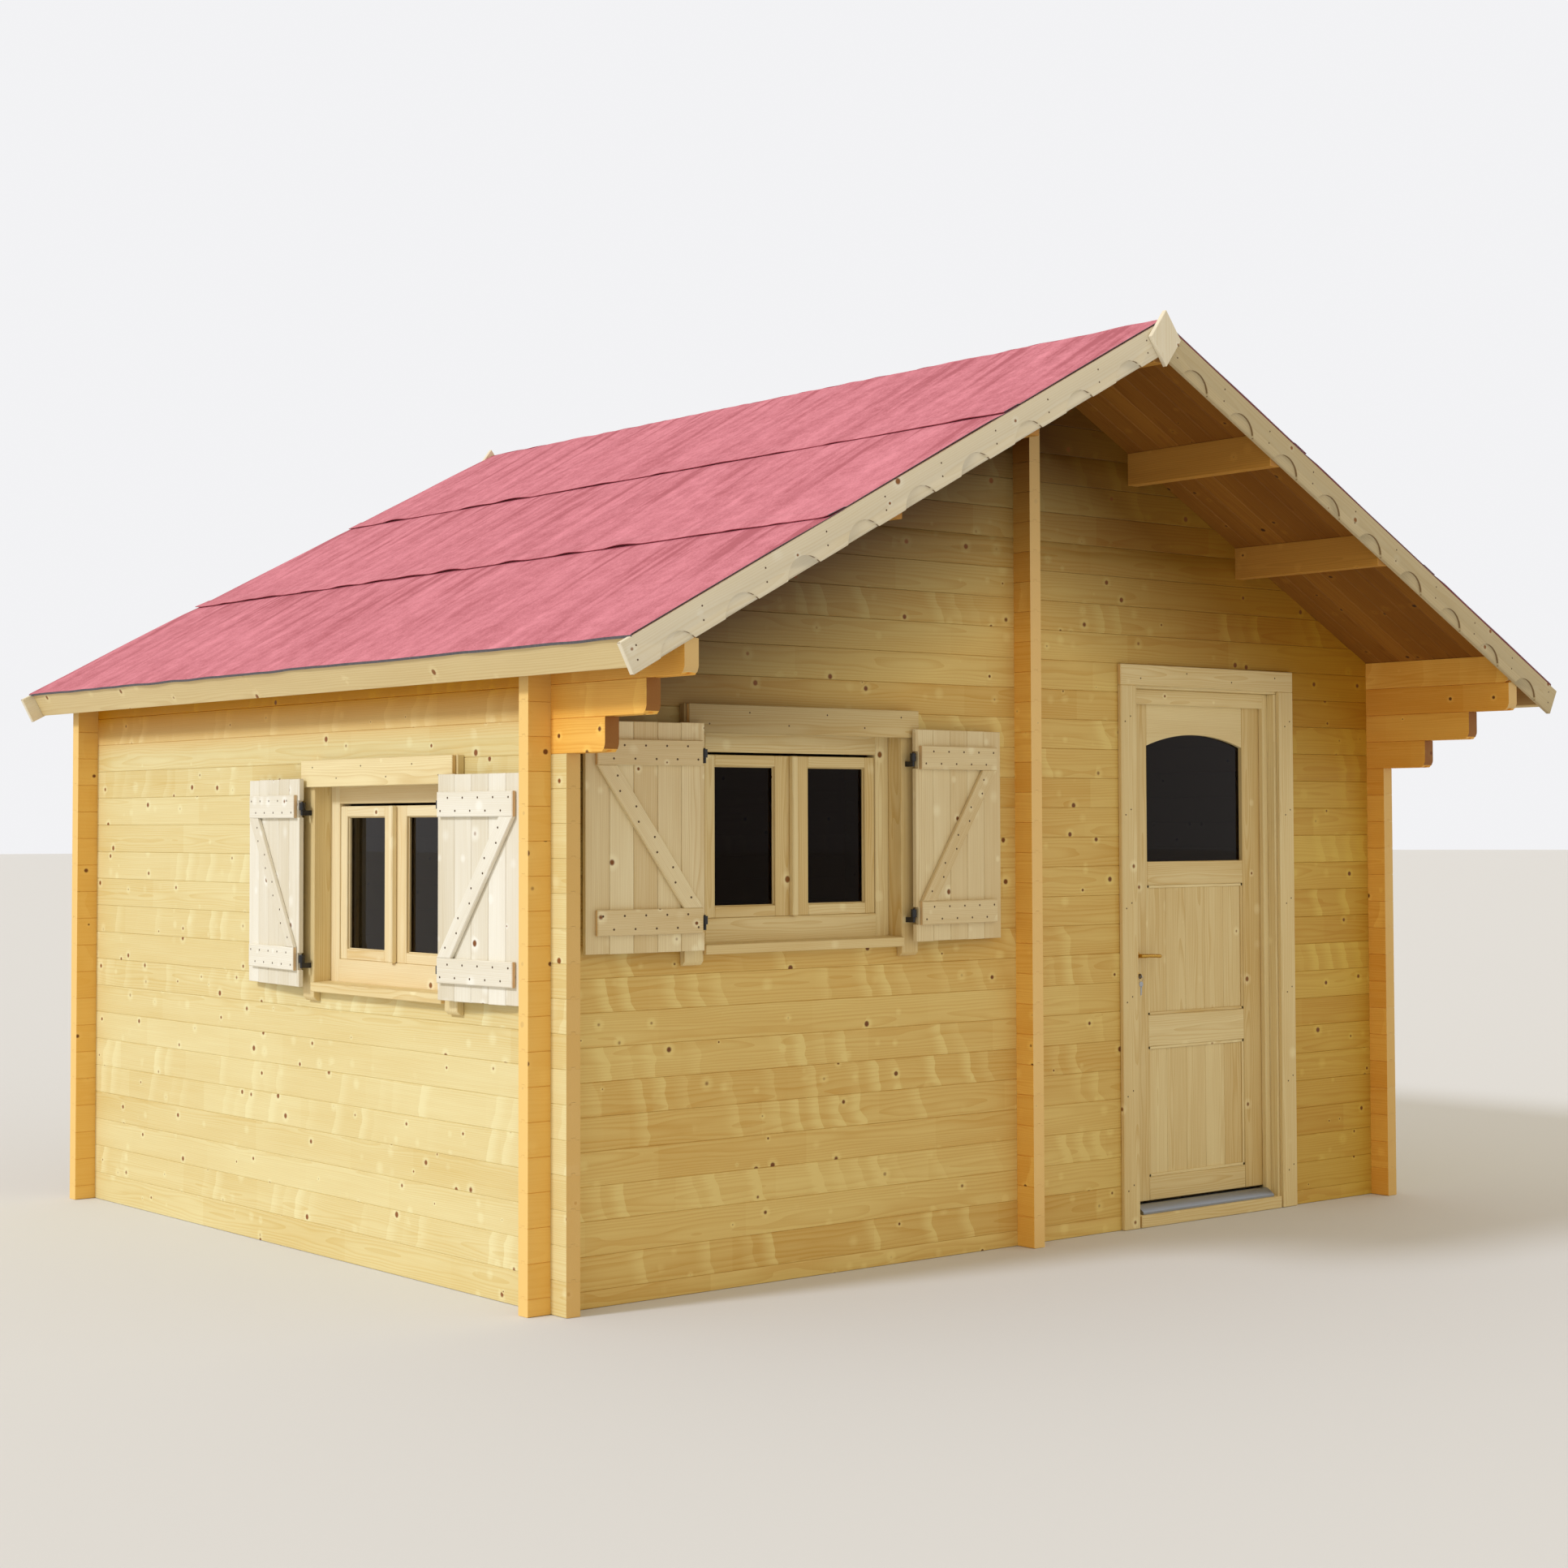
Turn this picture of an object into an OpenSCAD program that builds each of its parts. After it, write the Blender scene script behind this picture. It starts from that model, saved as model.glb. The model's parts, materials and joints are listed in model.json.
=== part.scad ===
// Gable-fronted garden shed of interlocking logs, with a half-glazed door
// and two double windows that have board shutters. Millimetres, +Z up.
// The front faces -Y. The origin is on the ground, under the middle of the roof.

/* [Logs] */
// Height of one course of logs
log_h = 120; // [100:1:140]
// Thickness of a log
log_t = 58; // [44:1:70]
// How far a log runs on past the face of the wall it crosses
log_end = 94; // [60:1:140]
// Chamfer along the edges of a log
log_edge = 4; // [2:0.5:8]
// Width of the tongue on top of a log
tongue_w = 18; // [10:1:24]
// Height of the tongue on top of a log
tongue_h = 8; // [5:0.5:12]
// Gap between a log and the one it sits on
log_gap = 0.3; // [0.2:0.1:0.5]

/* [Walls] */
// Distance between the middles of the side walls
wall_w = 4470; // [4200:10:4800]
// Distance between the middles of the front and back walls
wall_d = 3640; // [3300:10:4200]
// Whole courses in a side wall below the stepped eave logs
side_courses = 16; // [16:1:17]
// How far the lowest stepped eave log stands out in front of the front wall's middle
step_1 = 350; // [250:5:420]
// How far the second stepped eave log stands out
step_2 = 585; // [480:5:640]
// Radius of the rounded corner under the front end of a stepped eave log
step_round = 34; // [20:1:50]

/* [Roof] */
// Pitch of the roof in degrees
pitch = 27.7; // [25:0.1:29]
// Front wall's middle to the outer face of the front bargeboards
front_over = 812; // [740:2:900]
// Back wall's middle to the outer face of the back bargeboards
back_over = 203; // [180:1:300]
// Length of a slope along the deck, from the ridge to the fascia
slope_len = 2777; // [2740:1:2900]
// Thickness of the deck boards
deck_t = 20; // [16:0.5:26]
// Thickness of the roofing felt
felt_t = 3; // [2:0.5:5]
// Length of a felt strip that shows, measured down the slope
felt_show = 935; // [900:5:960]
// Overlap of a felt strip on the one below
felt_lap = 80; // [50:5:120]
// How far the felt hangs out past the fascia
felt_drip = 12; // [6:1:20]
// Distance of the upper purlins from the middle, and of the lower ones from the upper
purlin_step = 672; // [600:2:700]

/* [Bargeboards and fascia] */
// Width of a bargeboard
barge_w = 114; // [105:1:130]
// Thickness of a bargeboard
barge_t = 20; // [16:1:26]
// How far a bargeboard runs on past the fascia
barge_tail = 55; // [30:1:80]
// Radius of the arched pockets in a bargeboard
pocket_r = 86; // [74:1:96]
// Height of the arched pockets above the board's lower edge
pocket_h = 52; // [40:1:56]
// Depth of the arched pockets
pocket_deep = 10; // [4:0.5:12]
// Spacing of the arched pockets along a bargeboard
pocket_step = 299; // [290:1:304]
// Pockets in each bargeboard
pocket_count = 9; // [6:1:9]
// Ridge to the middle of the first pocket
pocket_first = 258; // [240:1:270]
// Height of the fascia board
fascia_h = 110; // [90:1:120]
// Thickness of the fascia board
fascia_t = 20; // [16:1:26]
// Width of a diamond plate at the ridge
diamond_w = 165; // [140:1:190]
// Height of a diamond plate
diamond_h = 218; // [190:1:240]
// Thickness of a diamond plate
diamond_t = 20; // [14:1:26]
// Distance of a diamond plate's middle below the ridge of the soffit
diamond_drop = 46; // [30:1:60]

/* [Floor] */
// Height of the floor bearers
bearer_h = 60; // [45:1:70]
// Width of a floor bearer
bearer_w = 45; // [40:1:60]
// Number of floor bearers
bearer_count = 7; // [5:1:9]
// Thickness of the floor boards
floor_t = 20; // [16:1:24]
// Gap round the edge of the floor
floor_gap = 0.5; // [0.3:0.1:0.9]

/* [Door] */
// Door's middle, to the right of the middle of the front wall
door_x = 1118; // [1050:1:1180]
// Width of the door leaf
leaf_w = 880; // [800:1:920]
// How far the door frame reaches up into the first log over it
door_rise = 63; // [54:1:70]
// Thickness of the door leaf
leaf_t = 42; // [36:1:50]
// How far the door leaf sits behind the wall's inner face
leaf_back = 8; // [5:1:12]
// Gap beside the door leaf
leaf_gap = 5; // [5:0.5:6]
// Room over the door leaf, behind the stop
leaf_over = 48; // [42:1:54]
// Height of the leaf's bottom edge above the floor
leaf_lift = 12; // [10:1:16]
// Width of the leaf's upright frame members
stile_w = 136; // [110:1:150]
// Height of the leaf's bottom rail
rail_bottom = 98; // [80:1:130]
// Height of the leaf's lower panel
panel_low = 545; // [480:1:560]
// Height of the rail between the two panels
rail_mid = 132; // [100:1:150]
// Height of the leaf's upper panel
panel_high = 546; // [480:1:560]
// Height of the rail below the glass
rail_lock = 100; // [80:1:130]
// Height of the rail over the glass, at the top of its arch
rail_top = 139; // [110:1:160]
// Rise of the arch over the glass
glass_rise = 50; // [30:1:60]
// Depth of the sunk panels on each face of the leaf
panel_deep = 9; // [6:1:12]
// Thickness of the window and door glass
glass_t = 4; // [3:0.5:6]
// Thickness of a door jamb
jamb_t = 43; // [36:1:50]
// Width of the stop that the leaf closes against
stop_w = 30; // [22:1:32]
// Height of the stop over the leaf
stop_h = 64; // [58:1:70]
// Depth of the stops
stop_t = 26; // [20:1:32]
// Width of the casing boards round the door
casing_w = 94; // [80:1:110]
// Height of the casing board over the door
casing_head = 88; // [78:1:100]
// Thickness of the casing boards
casing_t = 20; // [16:1:24]
// How much of the door frame's edge the casing boards leave bare
casing_reveal = 10; // [6:1:14]
// Height of the door sill
sill_h = 50; // [40:1:56]
// Height of the metal threshold on the sill
threshold_h = 34; // [24:1:36]
// Distance of the outer hinges from the ends of the leaf
hinge_inset = 250; // [180:5:300]
// Distance of the hinge axis outside the leaf's edge
hinge_side = 3; // [2:0.5:4]
// Thickness of the hinge plates
plate_t = 3; // [2:0.5:4]
// Radius of the door's hinge barrels
barrel_r = 8; // [7:0.5:10]
// Length of one half of a hinge barrel
barrel_len = 45; // [35:1:60]
// Radius of the hinge pins
pin_r = 4; // [3.5:0.25:4.5]
// Clearance round a hinge pin
pin_clear = 0.3; // [0.2:0.05:0.4]

/* [Door handle] */
// Height of the handle above the leaf's bottom edge
handle_h = 1028; // [980:1:1060]
// Handle's distance from the free edge of the leaf
handle_in = 55; // [54:1:64]
// Radius of a handle rose
rose_r = 24; // [20:1:25]
// Thickness of a handle rose
rose_t = 7; // [5:0.5:9]
// Radius of the handle's neck
neck_r = 9; // [8:0.5:11]
// Clearance of the neck in the rose
neck_clear = 0.5; // [0.3:0.1:0.8]
// Radius of the lever's round hub
hub_r = 12; // [11:0.5:14]
// Distance of the lever's middle from the leaf
lever_off = 45; // [38:1:52]
// Length of the lever
lever_len = 114; // [100:1:125]
// Height of the lever
lever_h = 17; // [14:1:18]
// Thickness of the lever
lever_t = 11; // [8:1:13]
// Distance of the lock cylinder below the handle
lock_drop = 85; // [72:1:95]

/* [Windows] */
// Front window's middle, to the left of the middle of the front wall
front_win_x = 1145; // [1100:1:1160]
// Side window's middle, behind the middle of the front wall
side_win_y = 1088; // [1040:1:1300]
// Course at which the front window's opening starts
win_course = 10; // [9:1:11]
// Courses that a window's opening takes up
win_courses = 6; // [6:1:6]
// Clear width of a window between the linings of its hinge posts
win_w = 957; // [945:1:965]
// Thickness of those linings, which cover the ends of the logs
lining_t = 20; // [14:1:24]
// How far a window's opening reaches down into the log below it
win_drop = 18; // [12:1:24]
// How far a window's opening reaches up into the log above it
win_rise = 40; // [34:1:50]
// How far a window's frame sits behind the wall's outer face
win_set = 44; // [36:1:48]
// Depth of a window's frame
win_deep = 54; // [48:1:54]
// Width of a window's side frame members
win_side = 64; // [56:1:70]
// Height of a window's bottom frame member
win_bottom = 92; // [80:1:96]
// Height of a window's top frame member
win_top = 80; // [70:1:90]
// Gap between a sash and the frame at the side
sash_gap = 3; // [1:0.5:5]
// Gap between a sash and the frame at the top
sash_head_gap = 10; // [2:0.5:12]
// How far a sash sits behind the face of its frame
sash_in = 6; // [4:1:8]
// Thickness of a sash
sash_t = 46; // [40:1:46]
// Width of a sash's outer side member
sash_side = 48; // [42:1:54]
// Width of a sash's side member in the middle of the window
sash_meet = 80; // [70:1:86]
// Height of a sash's top and bottom members
sash_rail = 41; // [34:1:50]
// Width of the cover strip where the sashes meet
strip_w = 27; // [20:1:34]
// Thickness of the cover strip
strip_t = 24; // [18:1:28]
// Distance between the middles of a window's hinge posts
post_gap = 1042; // [1030:1:1060]
// Width of a hinge post
post_w = 85; // [76:1:90]
// Thickness of a hinge post
post_t = 30; // [25:1:34]
// How far a hinge post reaches below the window's opening
post_low = 90; // [70:1:110]
// Height of the board over a window
head_h = 105; // [90:1:110]
// How far that board starts above the window's opening
head_up = 25; // [20:1:32]
// Thickness of the board over a window
head_t = 18; // [14:1:19]
// How far that board's ends stay back from the posts' outer edges
head_in = 8; // [4:1:14]
// Height of a window's sill strip
win_sill_h = 34; // [24:1:40]
// How far a window's sill strip stands out from the wall
win_sill_out = 46; // [38:1:48]

/* [Shutters] */
// Width of a shutter
shutter_w = 492; // [460:1:492]
// Height of a shutter
shutter_h = 815; // [780:1:830]
// Distance of a shutter's middle above the window opening's middle
shutter_up = 12; // [5:1:20]
// Thickness of the shutter boards
board_t = 20; // [18:0.5:22]
// Thickness of the shutter battens
batten_t = 18; // [14:1:19]
// Height of the shutter battens
batten_h = 90; // [75:1:100]
// Distance of a batten's middle from the middle of the shutter
batten_off = 298; // [270:1:320]
// Width of the slanting brace
brace_w = 80; // [60:1:95]
// Inset of a batten from the shutter's free edge
batten_free = 40; // [20:1:60]
// Inset of a batten from the shutter's hinge edge
batten_hinge = 16; // [14:1:30]
// Distance of the hinge axis out from the wall
hinge_out = 70; // [68:1:76]
// Distance of the hinge axis from the middle of the window
hinge_u = 504; // [503:1:512]
// Distance from the hinge axis to the shutter's edge
hinge_edge = 6; // [5:0.5:7]
// Angle that an open shutter leans back towards the wall
lean = 5; // [0:0.5:6]
// Outer radius of a hinge eye
eye_r = 11.5; // [10.5:0.5:13]
// Height of a hinge eye and its strap
eye_h = 30; // [24:1:36]
// Length of a hinge strap along the shutter
strap_len = 250; // [200:5:300]
// Thickness of a hinge strap
strap_t = 4; // [3:0.5:5]
// Width of the bracket arm that carries a hinge pin
arm_w = 12; // [10:0.5:14]
// Height of that arm
arm_h = 20; // [16:1:24]
// How far a hinge pin stands out above its eye
pin_tip = 4; // [2:0.5:6]
// Room round a hinge eye where the shutter is cut back
gain_clear = 2; // [1.5:0.5:3]
// Room below a hinge eye for the bracket arm
gain_low = 28; // [26:1:32]
// Room above a hinge eye for the pin's tip
gain_high = 8; // [6:1:12]

/* [Hidden] */
$fn = 48;
big = 9000;
cut = 1;
seat = 0.3;
notch_gap = 0.25;
bite = 5;

// Wall planes and log spans
roof_len = front_over + wall_d + back_over;
y_front = front_over - roof_len / 2;
y_back = y_front + wall_d;
x_side = wall_w / 2;
half_t = log_t / 2;
log_over = half_t + log_end;
x_end = x_side + log_over;
face_y = y_front - half_t;
gable_from = side_courses + 3;
eave_soffit = (side_courses + 4) * log_h;

// Roof planes: s runs down a slope from the ridge, n stands square to it
ridge_z = eave_soffit + (x_side - half_t) * tan(pitch);
gable_to = ceil(ridge_z / log_h);
roof_front = -roof_len / 2 + barge_t;
roof_back = roof_len / 2 - barge_t;
barge_s = slope_len + fascia_t + barge_tail;
purlin_x = [purlin_step, 2 * purlin_step];
function soffit(x) = ridge_z - abs(x) * tan(pitch);
function roof_at(s, n) = [s * cos(pitch) + n * sin(pitch), ridge_z - s * sin(pitch) + n * cos(pitch)];
function mitre(n) = -n * tan(pitch);

// Floor and door heights, and places across the doorway
floor_top = bearer_h + floor_t;
leaf_z = floor_top + leaf_lift;
jamb_in = leaf_w / 2 + leaf_gap;
jamb_out = jamb_in + jamb_t;
door_hole = jamb_out + seat;
head_z = (gable_from - 0.5) * log_h + door_rise - jamb_t;
leaf_h = head_z - leaf_over - leaf_z;
door_top = head_z + jamb_t + seat;
leaf_y = y_front + half_t + leaf_back;
leaf_in_y = leaf_y + leaf_t;
casing_in = jamb_in + casing_reveal;
casing_z = head_z + casing_reveal;
glass_up = rail_bottom + panel_low + rail_mid + panel_high + rail_lock;
glass_z = leaf_z + glass_up;
glass_side = leaf_h - glass_up - glass_rise - rail_top;
glass_half = leaf_w / 2 - stile_w;
arch_r = (glass_half * glass_half + glass_rise * glass_rise) / (2 * glass_rise);
hinge_x = door_x + leaf_w / 2 + hinge_side;
hinge_y = leaf_in_y + barrel_r;
door_hinges = [leaf_z + hinge_inset, leaf_z + leaf_h / 2, leaf_z + leaf_h - hinge_inset];
handle_x = door_x - leaf_w / 2 + handle_in;
handle_z = leaf_z + handle_h;

// Window heights: the front wall's courses start half a log lower
front_win_z = (win_course + 0.5) * log_h;
side_win_z = (win_course - 1) * log_h;
win_h = win_courses * log_h;
win_half = win_w / 2 + lining_t + seat;
sash_y = win_set + sash_in;
sash_u = win_w / 2 - win_side - sash_gap;
sash_z = win_bottom - win_drop + seat;
sash_h = win_h + win_rise - win_top - sash_head_gap - sash_z;
hinge_z = [win_h / 2 + shutter_up - batten_off, win_h / 2 + shutter_up + batten_off];
eye_gain = hinge_edge + eye_r + gain_clear;

// Log sections, and one log of a wall

// Section of a log of height h, across [y, z]; a half log at the bottom has no groove
module log_section(h, grooved = true) {
    top = h - log_gap;
    groove_h = tongue_h + log_gap;
    groove_w = tongue_w / 2 + log_gap;
    bottom = grooved ? [[groove_w, 0], [groove_w, groove_h], [-groove_w, groove_h], [-groove_w, 0]] : [];
    polygon(concat(
        [[-half_t + log_edge, 0], [-half_t, log_edge], [-half_t, top - log_edge], [-half_t + log_edge, top],
         [-tongue_w / 2, top], [-tongue_w / 2, top + tongue_h], [tongue_w / 2, top + tongue_h], [tongue_w / 2, top],
         [half_t - log_edge, top], [half_t, top - log_edge], [half_t, log_edge], [half_t - log_edge, 0]],
        bottom));
}

// A log along X from x0 to x1, its middle on y = 0, standing on z0
module log_x(x0, x1, z0, h = log_h, grooved = true) {
    translate([x0, 0, z0])
        rotate([90, 0, 90])
            linear_extrude(x1 - x0)
                log_section(h, grooved);
}

// A log along Y from y0 to y1, its middle on x = 0
module log_y(y0, y1, z0, h = log_h, grooved = true) {
    rotate([0, 0, 90])
        log_x(y0, y1, z0, h, grooved);
}

// Height span of course k of a front or back wall, which starts with half a log
function cross_z0(k) = k == 0 ? 0 : (k - 0.5) * log_h;
function cross_h(k) = k == 0 ? log_h / 2 : log_h;

// Room for the neck of a log with its middle at z, where two walls cross
module neck_room(z) {
    w = log_t + 2 * notch_gap;
    h = log_h / 2 + 2 * notch_gap;
    translate([-w / 2, -w / 2 - cut, z - h / 2])
        cube([w, w + 2 * cut, h]);
}

// Course k of a front or back wall, from x0 to x1, notched where it crosses the logs at xs
module cross_log(k, x0, x1, xs) {
    difference() {
        log_x(x0, x1, cross_z0(k), cross_h(k), k > 0);
        for (x = xs, side = [-0.5, 0.5])
            if (k > 0 || side > 0)
                translate([x, 0, 0])
                    neck_room((k + side) * log_h);
    }
}

// Course j of a side wall or brace, from y0 to y1, notched where it crosses the logs at ys
module side_log(j, y0, y1, ys) {
    difference() {
        log_y(y0, y1, j * log_h, log_h, j > 0);
        for (y = ys, k = [j, j + 1])
            translate([0, y, 0])
                rotate([0, 0, 90])
                    neck_room(k * log_h);
    }
}

// Everything below the soffit, for trimming logs to the roof
module under_roof() {
    translate([0, big / 2, 0])
        rotate([90, 0, 0])
            linear_extrude(big)
                polygon([[-x_end - big / 4, -cut], [-x_end - big / 4, soffit(x_end + big / 4) - seat], [0, ridge_z - seat],
                         [x_end + big / 4, soffit(x_end + big / 4) - seat], [x_end + big / 4, -cut]]);
}

// Walls

// Courses of a front or back wall up to the door head, from x0 to x1
module cross_courses(x0, x1, xs) {
    for (k = [0 : gable_from - 1])
        cross_log(k, x0, x1, xs);
}

module front_wall_left() {
    color("burlywood")
        difference() {
            translate([0, y_front, 0])
                cross_courses(-x_end, door_x - door_hole, [-x_side, 0]);
            at_front_window()
                window_hole();
        }
}

module front_wall_right() {
    color("burlywood")
        translate([0, y_front, 0])
            cross_courses(door_x + door_hole, x_end, [x_side]);
}

module back_wall() {
    color("burlywood")
        translate([0, y_back, 0])
            cross_courses(-x_end, x_end, [-x_side, 0, x_side]);
}

// Logs of a gable, trimmed to the roof and cut out for the purlins
module gable(xs) {
    difference() {
        intersection() {
            for (k = [gable_from : gable_to]) {
                inner = x_side - half_t - seat;
                span = k == gable_from ? x_end : inner;
                if (soffit(0) > cross_z0(k) + log_h / 4)
                    cross_log(k, -span, span, k == gable_from ? xs : [0]);
            }
            under_roof();
        }
        translate([0, big / 2, 0])
            rotate([90, 0, 0])
                linear_extrude(big)
                    purlin_sections(notch_gap);
    }
}

module front_gable() {
    color("burlywood")
        difference() {
            translate([0, y_front, 0])
                gable([-x_side, 0, x_side]);
            translate([door_x - door_hole, y_front - log_t, 0])
                cube([2 * door_hole, 2 * log_t, door_top]);
        }
}

module back_gable() {
    color("burlywood")
        translate([0, y_back, 0])
            gable([-x_side, 0, x_side]);
}

// Courses of a side wall below the stepped eave logs
module side_courses_at(x) {
    translate([x, 0, 0])
        for (j = [0 : side_courses - 1])
            side_log(j, y_front - log_over, y_back + log_over, [y_front, y_back]);
}

module left_wall() {
    color("khaki")
        difference() {
            side_courses_at(-x_side);
            at_side_window()
                window_hole();
        }
}

module right_wall() {
    color("khaki")
        side_courses_at(x_side);
}

// What is cut away to round the corner under the front end of a log, with that corner at the origin
module round_corner() {
    difference() {
        translate([-log_t, -cut, -cut])
            cube([2 * log_t, step_round + cut, step_round + cut]);
        translate([-2 * log_t, step_round, step_round])
            rotate([0, 90, 0])
                cylinder(r = step_round, h = 4 * log_t);
    }
}

// The four top logs of a side wall, each standing out further in front than the one below
module eave_logs(x) {
    fronts = [y_front - step_1, y_front - step_2, roof_front, roof_front];
    backs = [y_back + log_over, y_back + log_over, roof_back, roof_back];
    intersection() {
        for (i = [0 : 3]) {
            j = side_courses + i;
            difference() {
                translate([x, 0, 0])
                    side_log(j, fronts[i], backs[i], [y_front, y_back]);
                translate([x, fronts[i], j * log_h])
                    round_corner();
            }
        }
        under_roof();
    }
}

module left_eave_logs() {
    color("khaki")
        eave_logs(-x_side);
}

module right_eave_logs() {
    color("khaki")
        eave_logs(x_side);
}

// Short logs that cross a gable wall under the ridge and stiffen it
module brace_logs(y) {
    top = ridge_z - purlin_drop();
    for (j = [0 : floor(top / log_h) - 1])
        side_log(j, y - log_over, y + log_over, [y]);
}

module front_brace_logs() {
    color("khaki")
        brace_logs(y_front);
}

module back_brace_logs() {
    color("khaki")
        brace_logs(y_back);
}

// Roof

// Depth of the ridge purlin below the ridge
function purlin_drop() = log_h + half_t * tan(pitch);

// Section of the purlin at x, grown by g for the notch that it sits in
module purlin_section(x, g) {
    a = x - half_t - g;
    b = x + half_t + g;
    low = x == 0 ? ridge_z - purlin_drop() : soffit(x) - log_h;
    peak = x == 0 ? [[0, ridge_z - seat + g]] : [];
    polygon(concat([[a, low - g], [b, low - g], [b, soffit(b) - seat + g]], peak, [[a, soffit(a) - seat + g]]));
}

module purlin_sections(g) {
    for (x = concat([0], purlin_x, -purlin_x))
        purlin_section(x, g);
}

// Runs a section across [x, z] along Y from y0 to y1
module along_y(y0, y1) {
    translate([0, y1, 0])
        rotate([90, 0, 0])
            linear_extrude(y1 - y0)
                children();
}

module ridge_purlin() {
    color("burlywood")
        along_y(roof_front, roof_back)
            purlin_section(0, 0);
}

module left_purlins() {
    color("burlywood")
        along_y(roof_front, roof_back)
            for (x = purlin_x)
                purlin_section(-x, 0);
}

module right_purlins() {
    color("burlywood")
        along_y(roof_front, roof_back)
            for (x = purlin_x)
                purlin_section(x, 0);
}

// Section of a flat layer of the roof on the right slope, mitred at the ridge
module slope_section(n0, n1, s1) {
    polygon([roof_at(mitre(n0), n0), roof_at(s1, n0), roof_at(s1, n1), roof_at(mitre(n1), n1)]);
}

module roof_deck_right() {
    color("wheat")
        along_y(roof_front, roof_back)
            slope_section(0, deck_t, slope_len);
}

module roof_deck_left() {
    mirror([1, 0, 0])
        roof_deck_right();
}

// Section of one felt strip from s0 to s1; the lower edge of all but the last lies on the next strip
module felt_strip(s0, s1, first, last) {
    a = deck_t + seat;
    b = a + felt_t;
    c = b + seat;
    d = c + felt_t;
    lap = s1 - felt_lap - seat;
    step = lap - 2 * felt_t;
    under = last ? [roof_at(s1, a), roof_at(s1, b)]
                 : [roof_at(lap, a), roof_at(lap, c), roof_at(s1, c), roof_at(s1, d), roof_at(lap - felt_t, d), roof_at(step, b)];
    polygon(concat([roof_at(first ? mitre(a) : s0 - felt_lap, a)], under, [roof_at(first ? mitre(b) : s0 - felt_lap, b)]));
}

// Felt in strips that lap down the slope, over the deck and the edges of the bargeboards
module roof_felt_right() {
    s_end = slope_len + fascia_t + felt_drip;
    count = ceil(s_end / felt_show);
    color("palevioletred")
        for (i = [0 : count - 1])
            along_y(-roof_len / 2, roof_len / 2)
                felt_strip(i * felt_show, i == count - 1 ? s_end : (i + 1) * felt_show, i == 0, i == count - 1);
}

module roof_felt_left() {
    mirror([1, 0, 0])
        roof_felt_right();
}

// Board that closes the lower edge of a slope, square to the deck
module fascia_right() {
    s0 = slope_len + seat;
    s1 = slope_len + fascia_t;
    color("tan")
        along_y(roof_front, roof_back)
            polygon([roof_at(s0, deck_t - fascia_h), roof_at(s1, deck_t - fascia_h),
                     roof_at(s1, deck_t), roof_at(s0, deck_t)]);
}

module fascia_left() {
    mirror([1, 0, 0])
        fascia_right();
}

// Right bargeboard with its outer face towards -Y, with arched pockets along its lower edge
module bargeboard() {
    low = deck_t - barge_w;
    color("tan")
        difference() {
            along_y(-roof_len / 2, roof_front)
                slope_section(low, deck_t, barge_s);
            for (i = [0 : pocket_count - 1]) {
                p = roof_at(pocket_first + i * pocket_step, low - pocket_r + pocket_h);
                translate([p[0], -roof_len / 2 + pocket_deep, p[1]])
                    rotate([90, 0, 0])
                        cylinder(r = pocket_r, h = pocket_deep + cut);
            }
        }
}

module bargeboard_front_right() {
    bargeboard();
}

module bargeboard_front_left() {
    mirror([1, 0, 0])
        bargeboard();
}

module bargeboard_back_right() {
    mirror([0, 1, 0])
        bargeboard();
}

module bargeboard_back_left() {
    rotate([0, 0, 180])
        bargeboard();
}

// Diamond plate that covers the joint of two bargeboards at the ridge
module diamond_front() {
    color("tan")
        translate([0, -roof_len / 2, ridge_z - diamond_drop])
            rotate([90, 0, 0])
                linear_extrude(diamond_t)
                    polygon([[-diamond_w / 2, 0], [0, -diamond_h / 2], [diamond_w / 2, 0], [0, diamond_h / 2]]);
}

module diamond_back() {
    mirror([0, 1, 0])
        diamond_front();
}

// Floor

// Plan of the floor between the walls, cut out round the brace logs
module floor_plan() {
    x = x_side - half_t - floor_gap;
    y0 = y_front + half_t + floor_gap;
    y1 = y_back - half_t - floor_gap;
    w = log_t + 2 * floor_gap;
    difference() {
        translate([-x, y0])
            square([2 * x, y1 - y0]);
        for (y = [y_front, y_back])
            translate([-w / 2, y - log_over - floor_gap])
                square([w, 2 * (log_over + floor_gap)]);
        // Room for the sill, threshold and jambs of the door
        translate([door_x - jamb_out - floor_gap, y_front])
            square([2 * (jamb_out + floor_gap), leaf_in_y - y_front + floor_gap]);
    }
}

module floor() {
    color("wheat")
        translate([0, 0, bearer_h])
            linear_extrude(floor_t)
                floor_plan();
}

module floor_bearers() {
    first = y_front + log_over + 2 * bearer_w;
    last = y_back - log_over - 2 * bearer_w;
    x = x_side - half_t - floor_gap;
    color("saddlebrown")
        for (i = [0 : bearer_count - 1])
            translate([-x, first + (last - first) * i / (bearer_count - 1) - bearer_w / 2, 0])
                cube([2 * x, bearer_w, bearer_h]);
}

// Door

// Outline of the door's glazed opening, drawn in by g: an arch on two straight sides
module glass_outline(g) {
    intersection() {
        translate([-glass_half + g, g])
            square([2 * (glass_half - g), glass_side + glass_rise]);
        translate([0, glass_side + glass_rise - arch_r])
            circle(r = arch_r - g, $fn = 96);
    }
}

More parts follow.
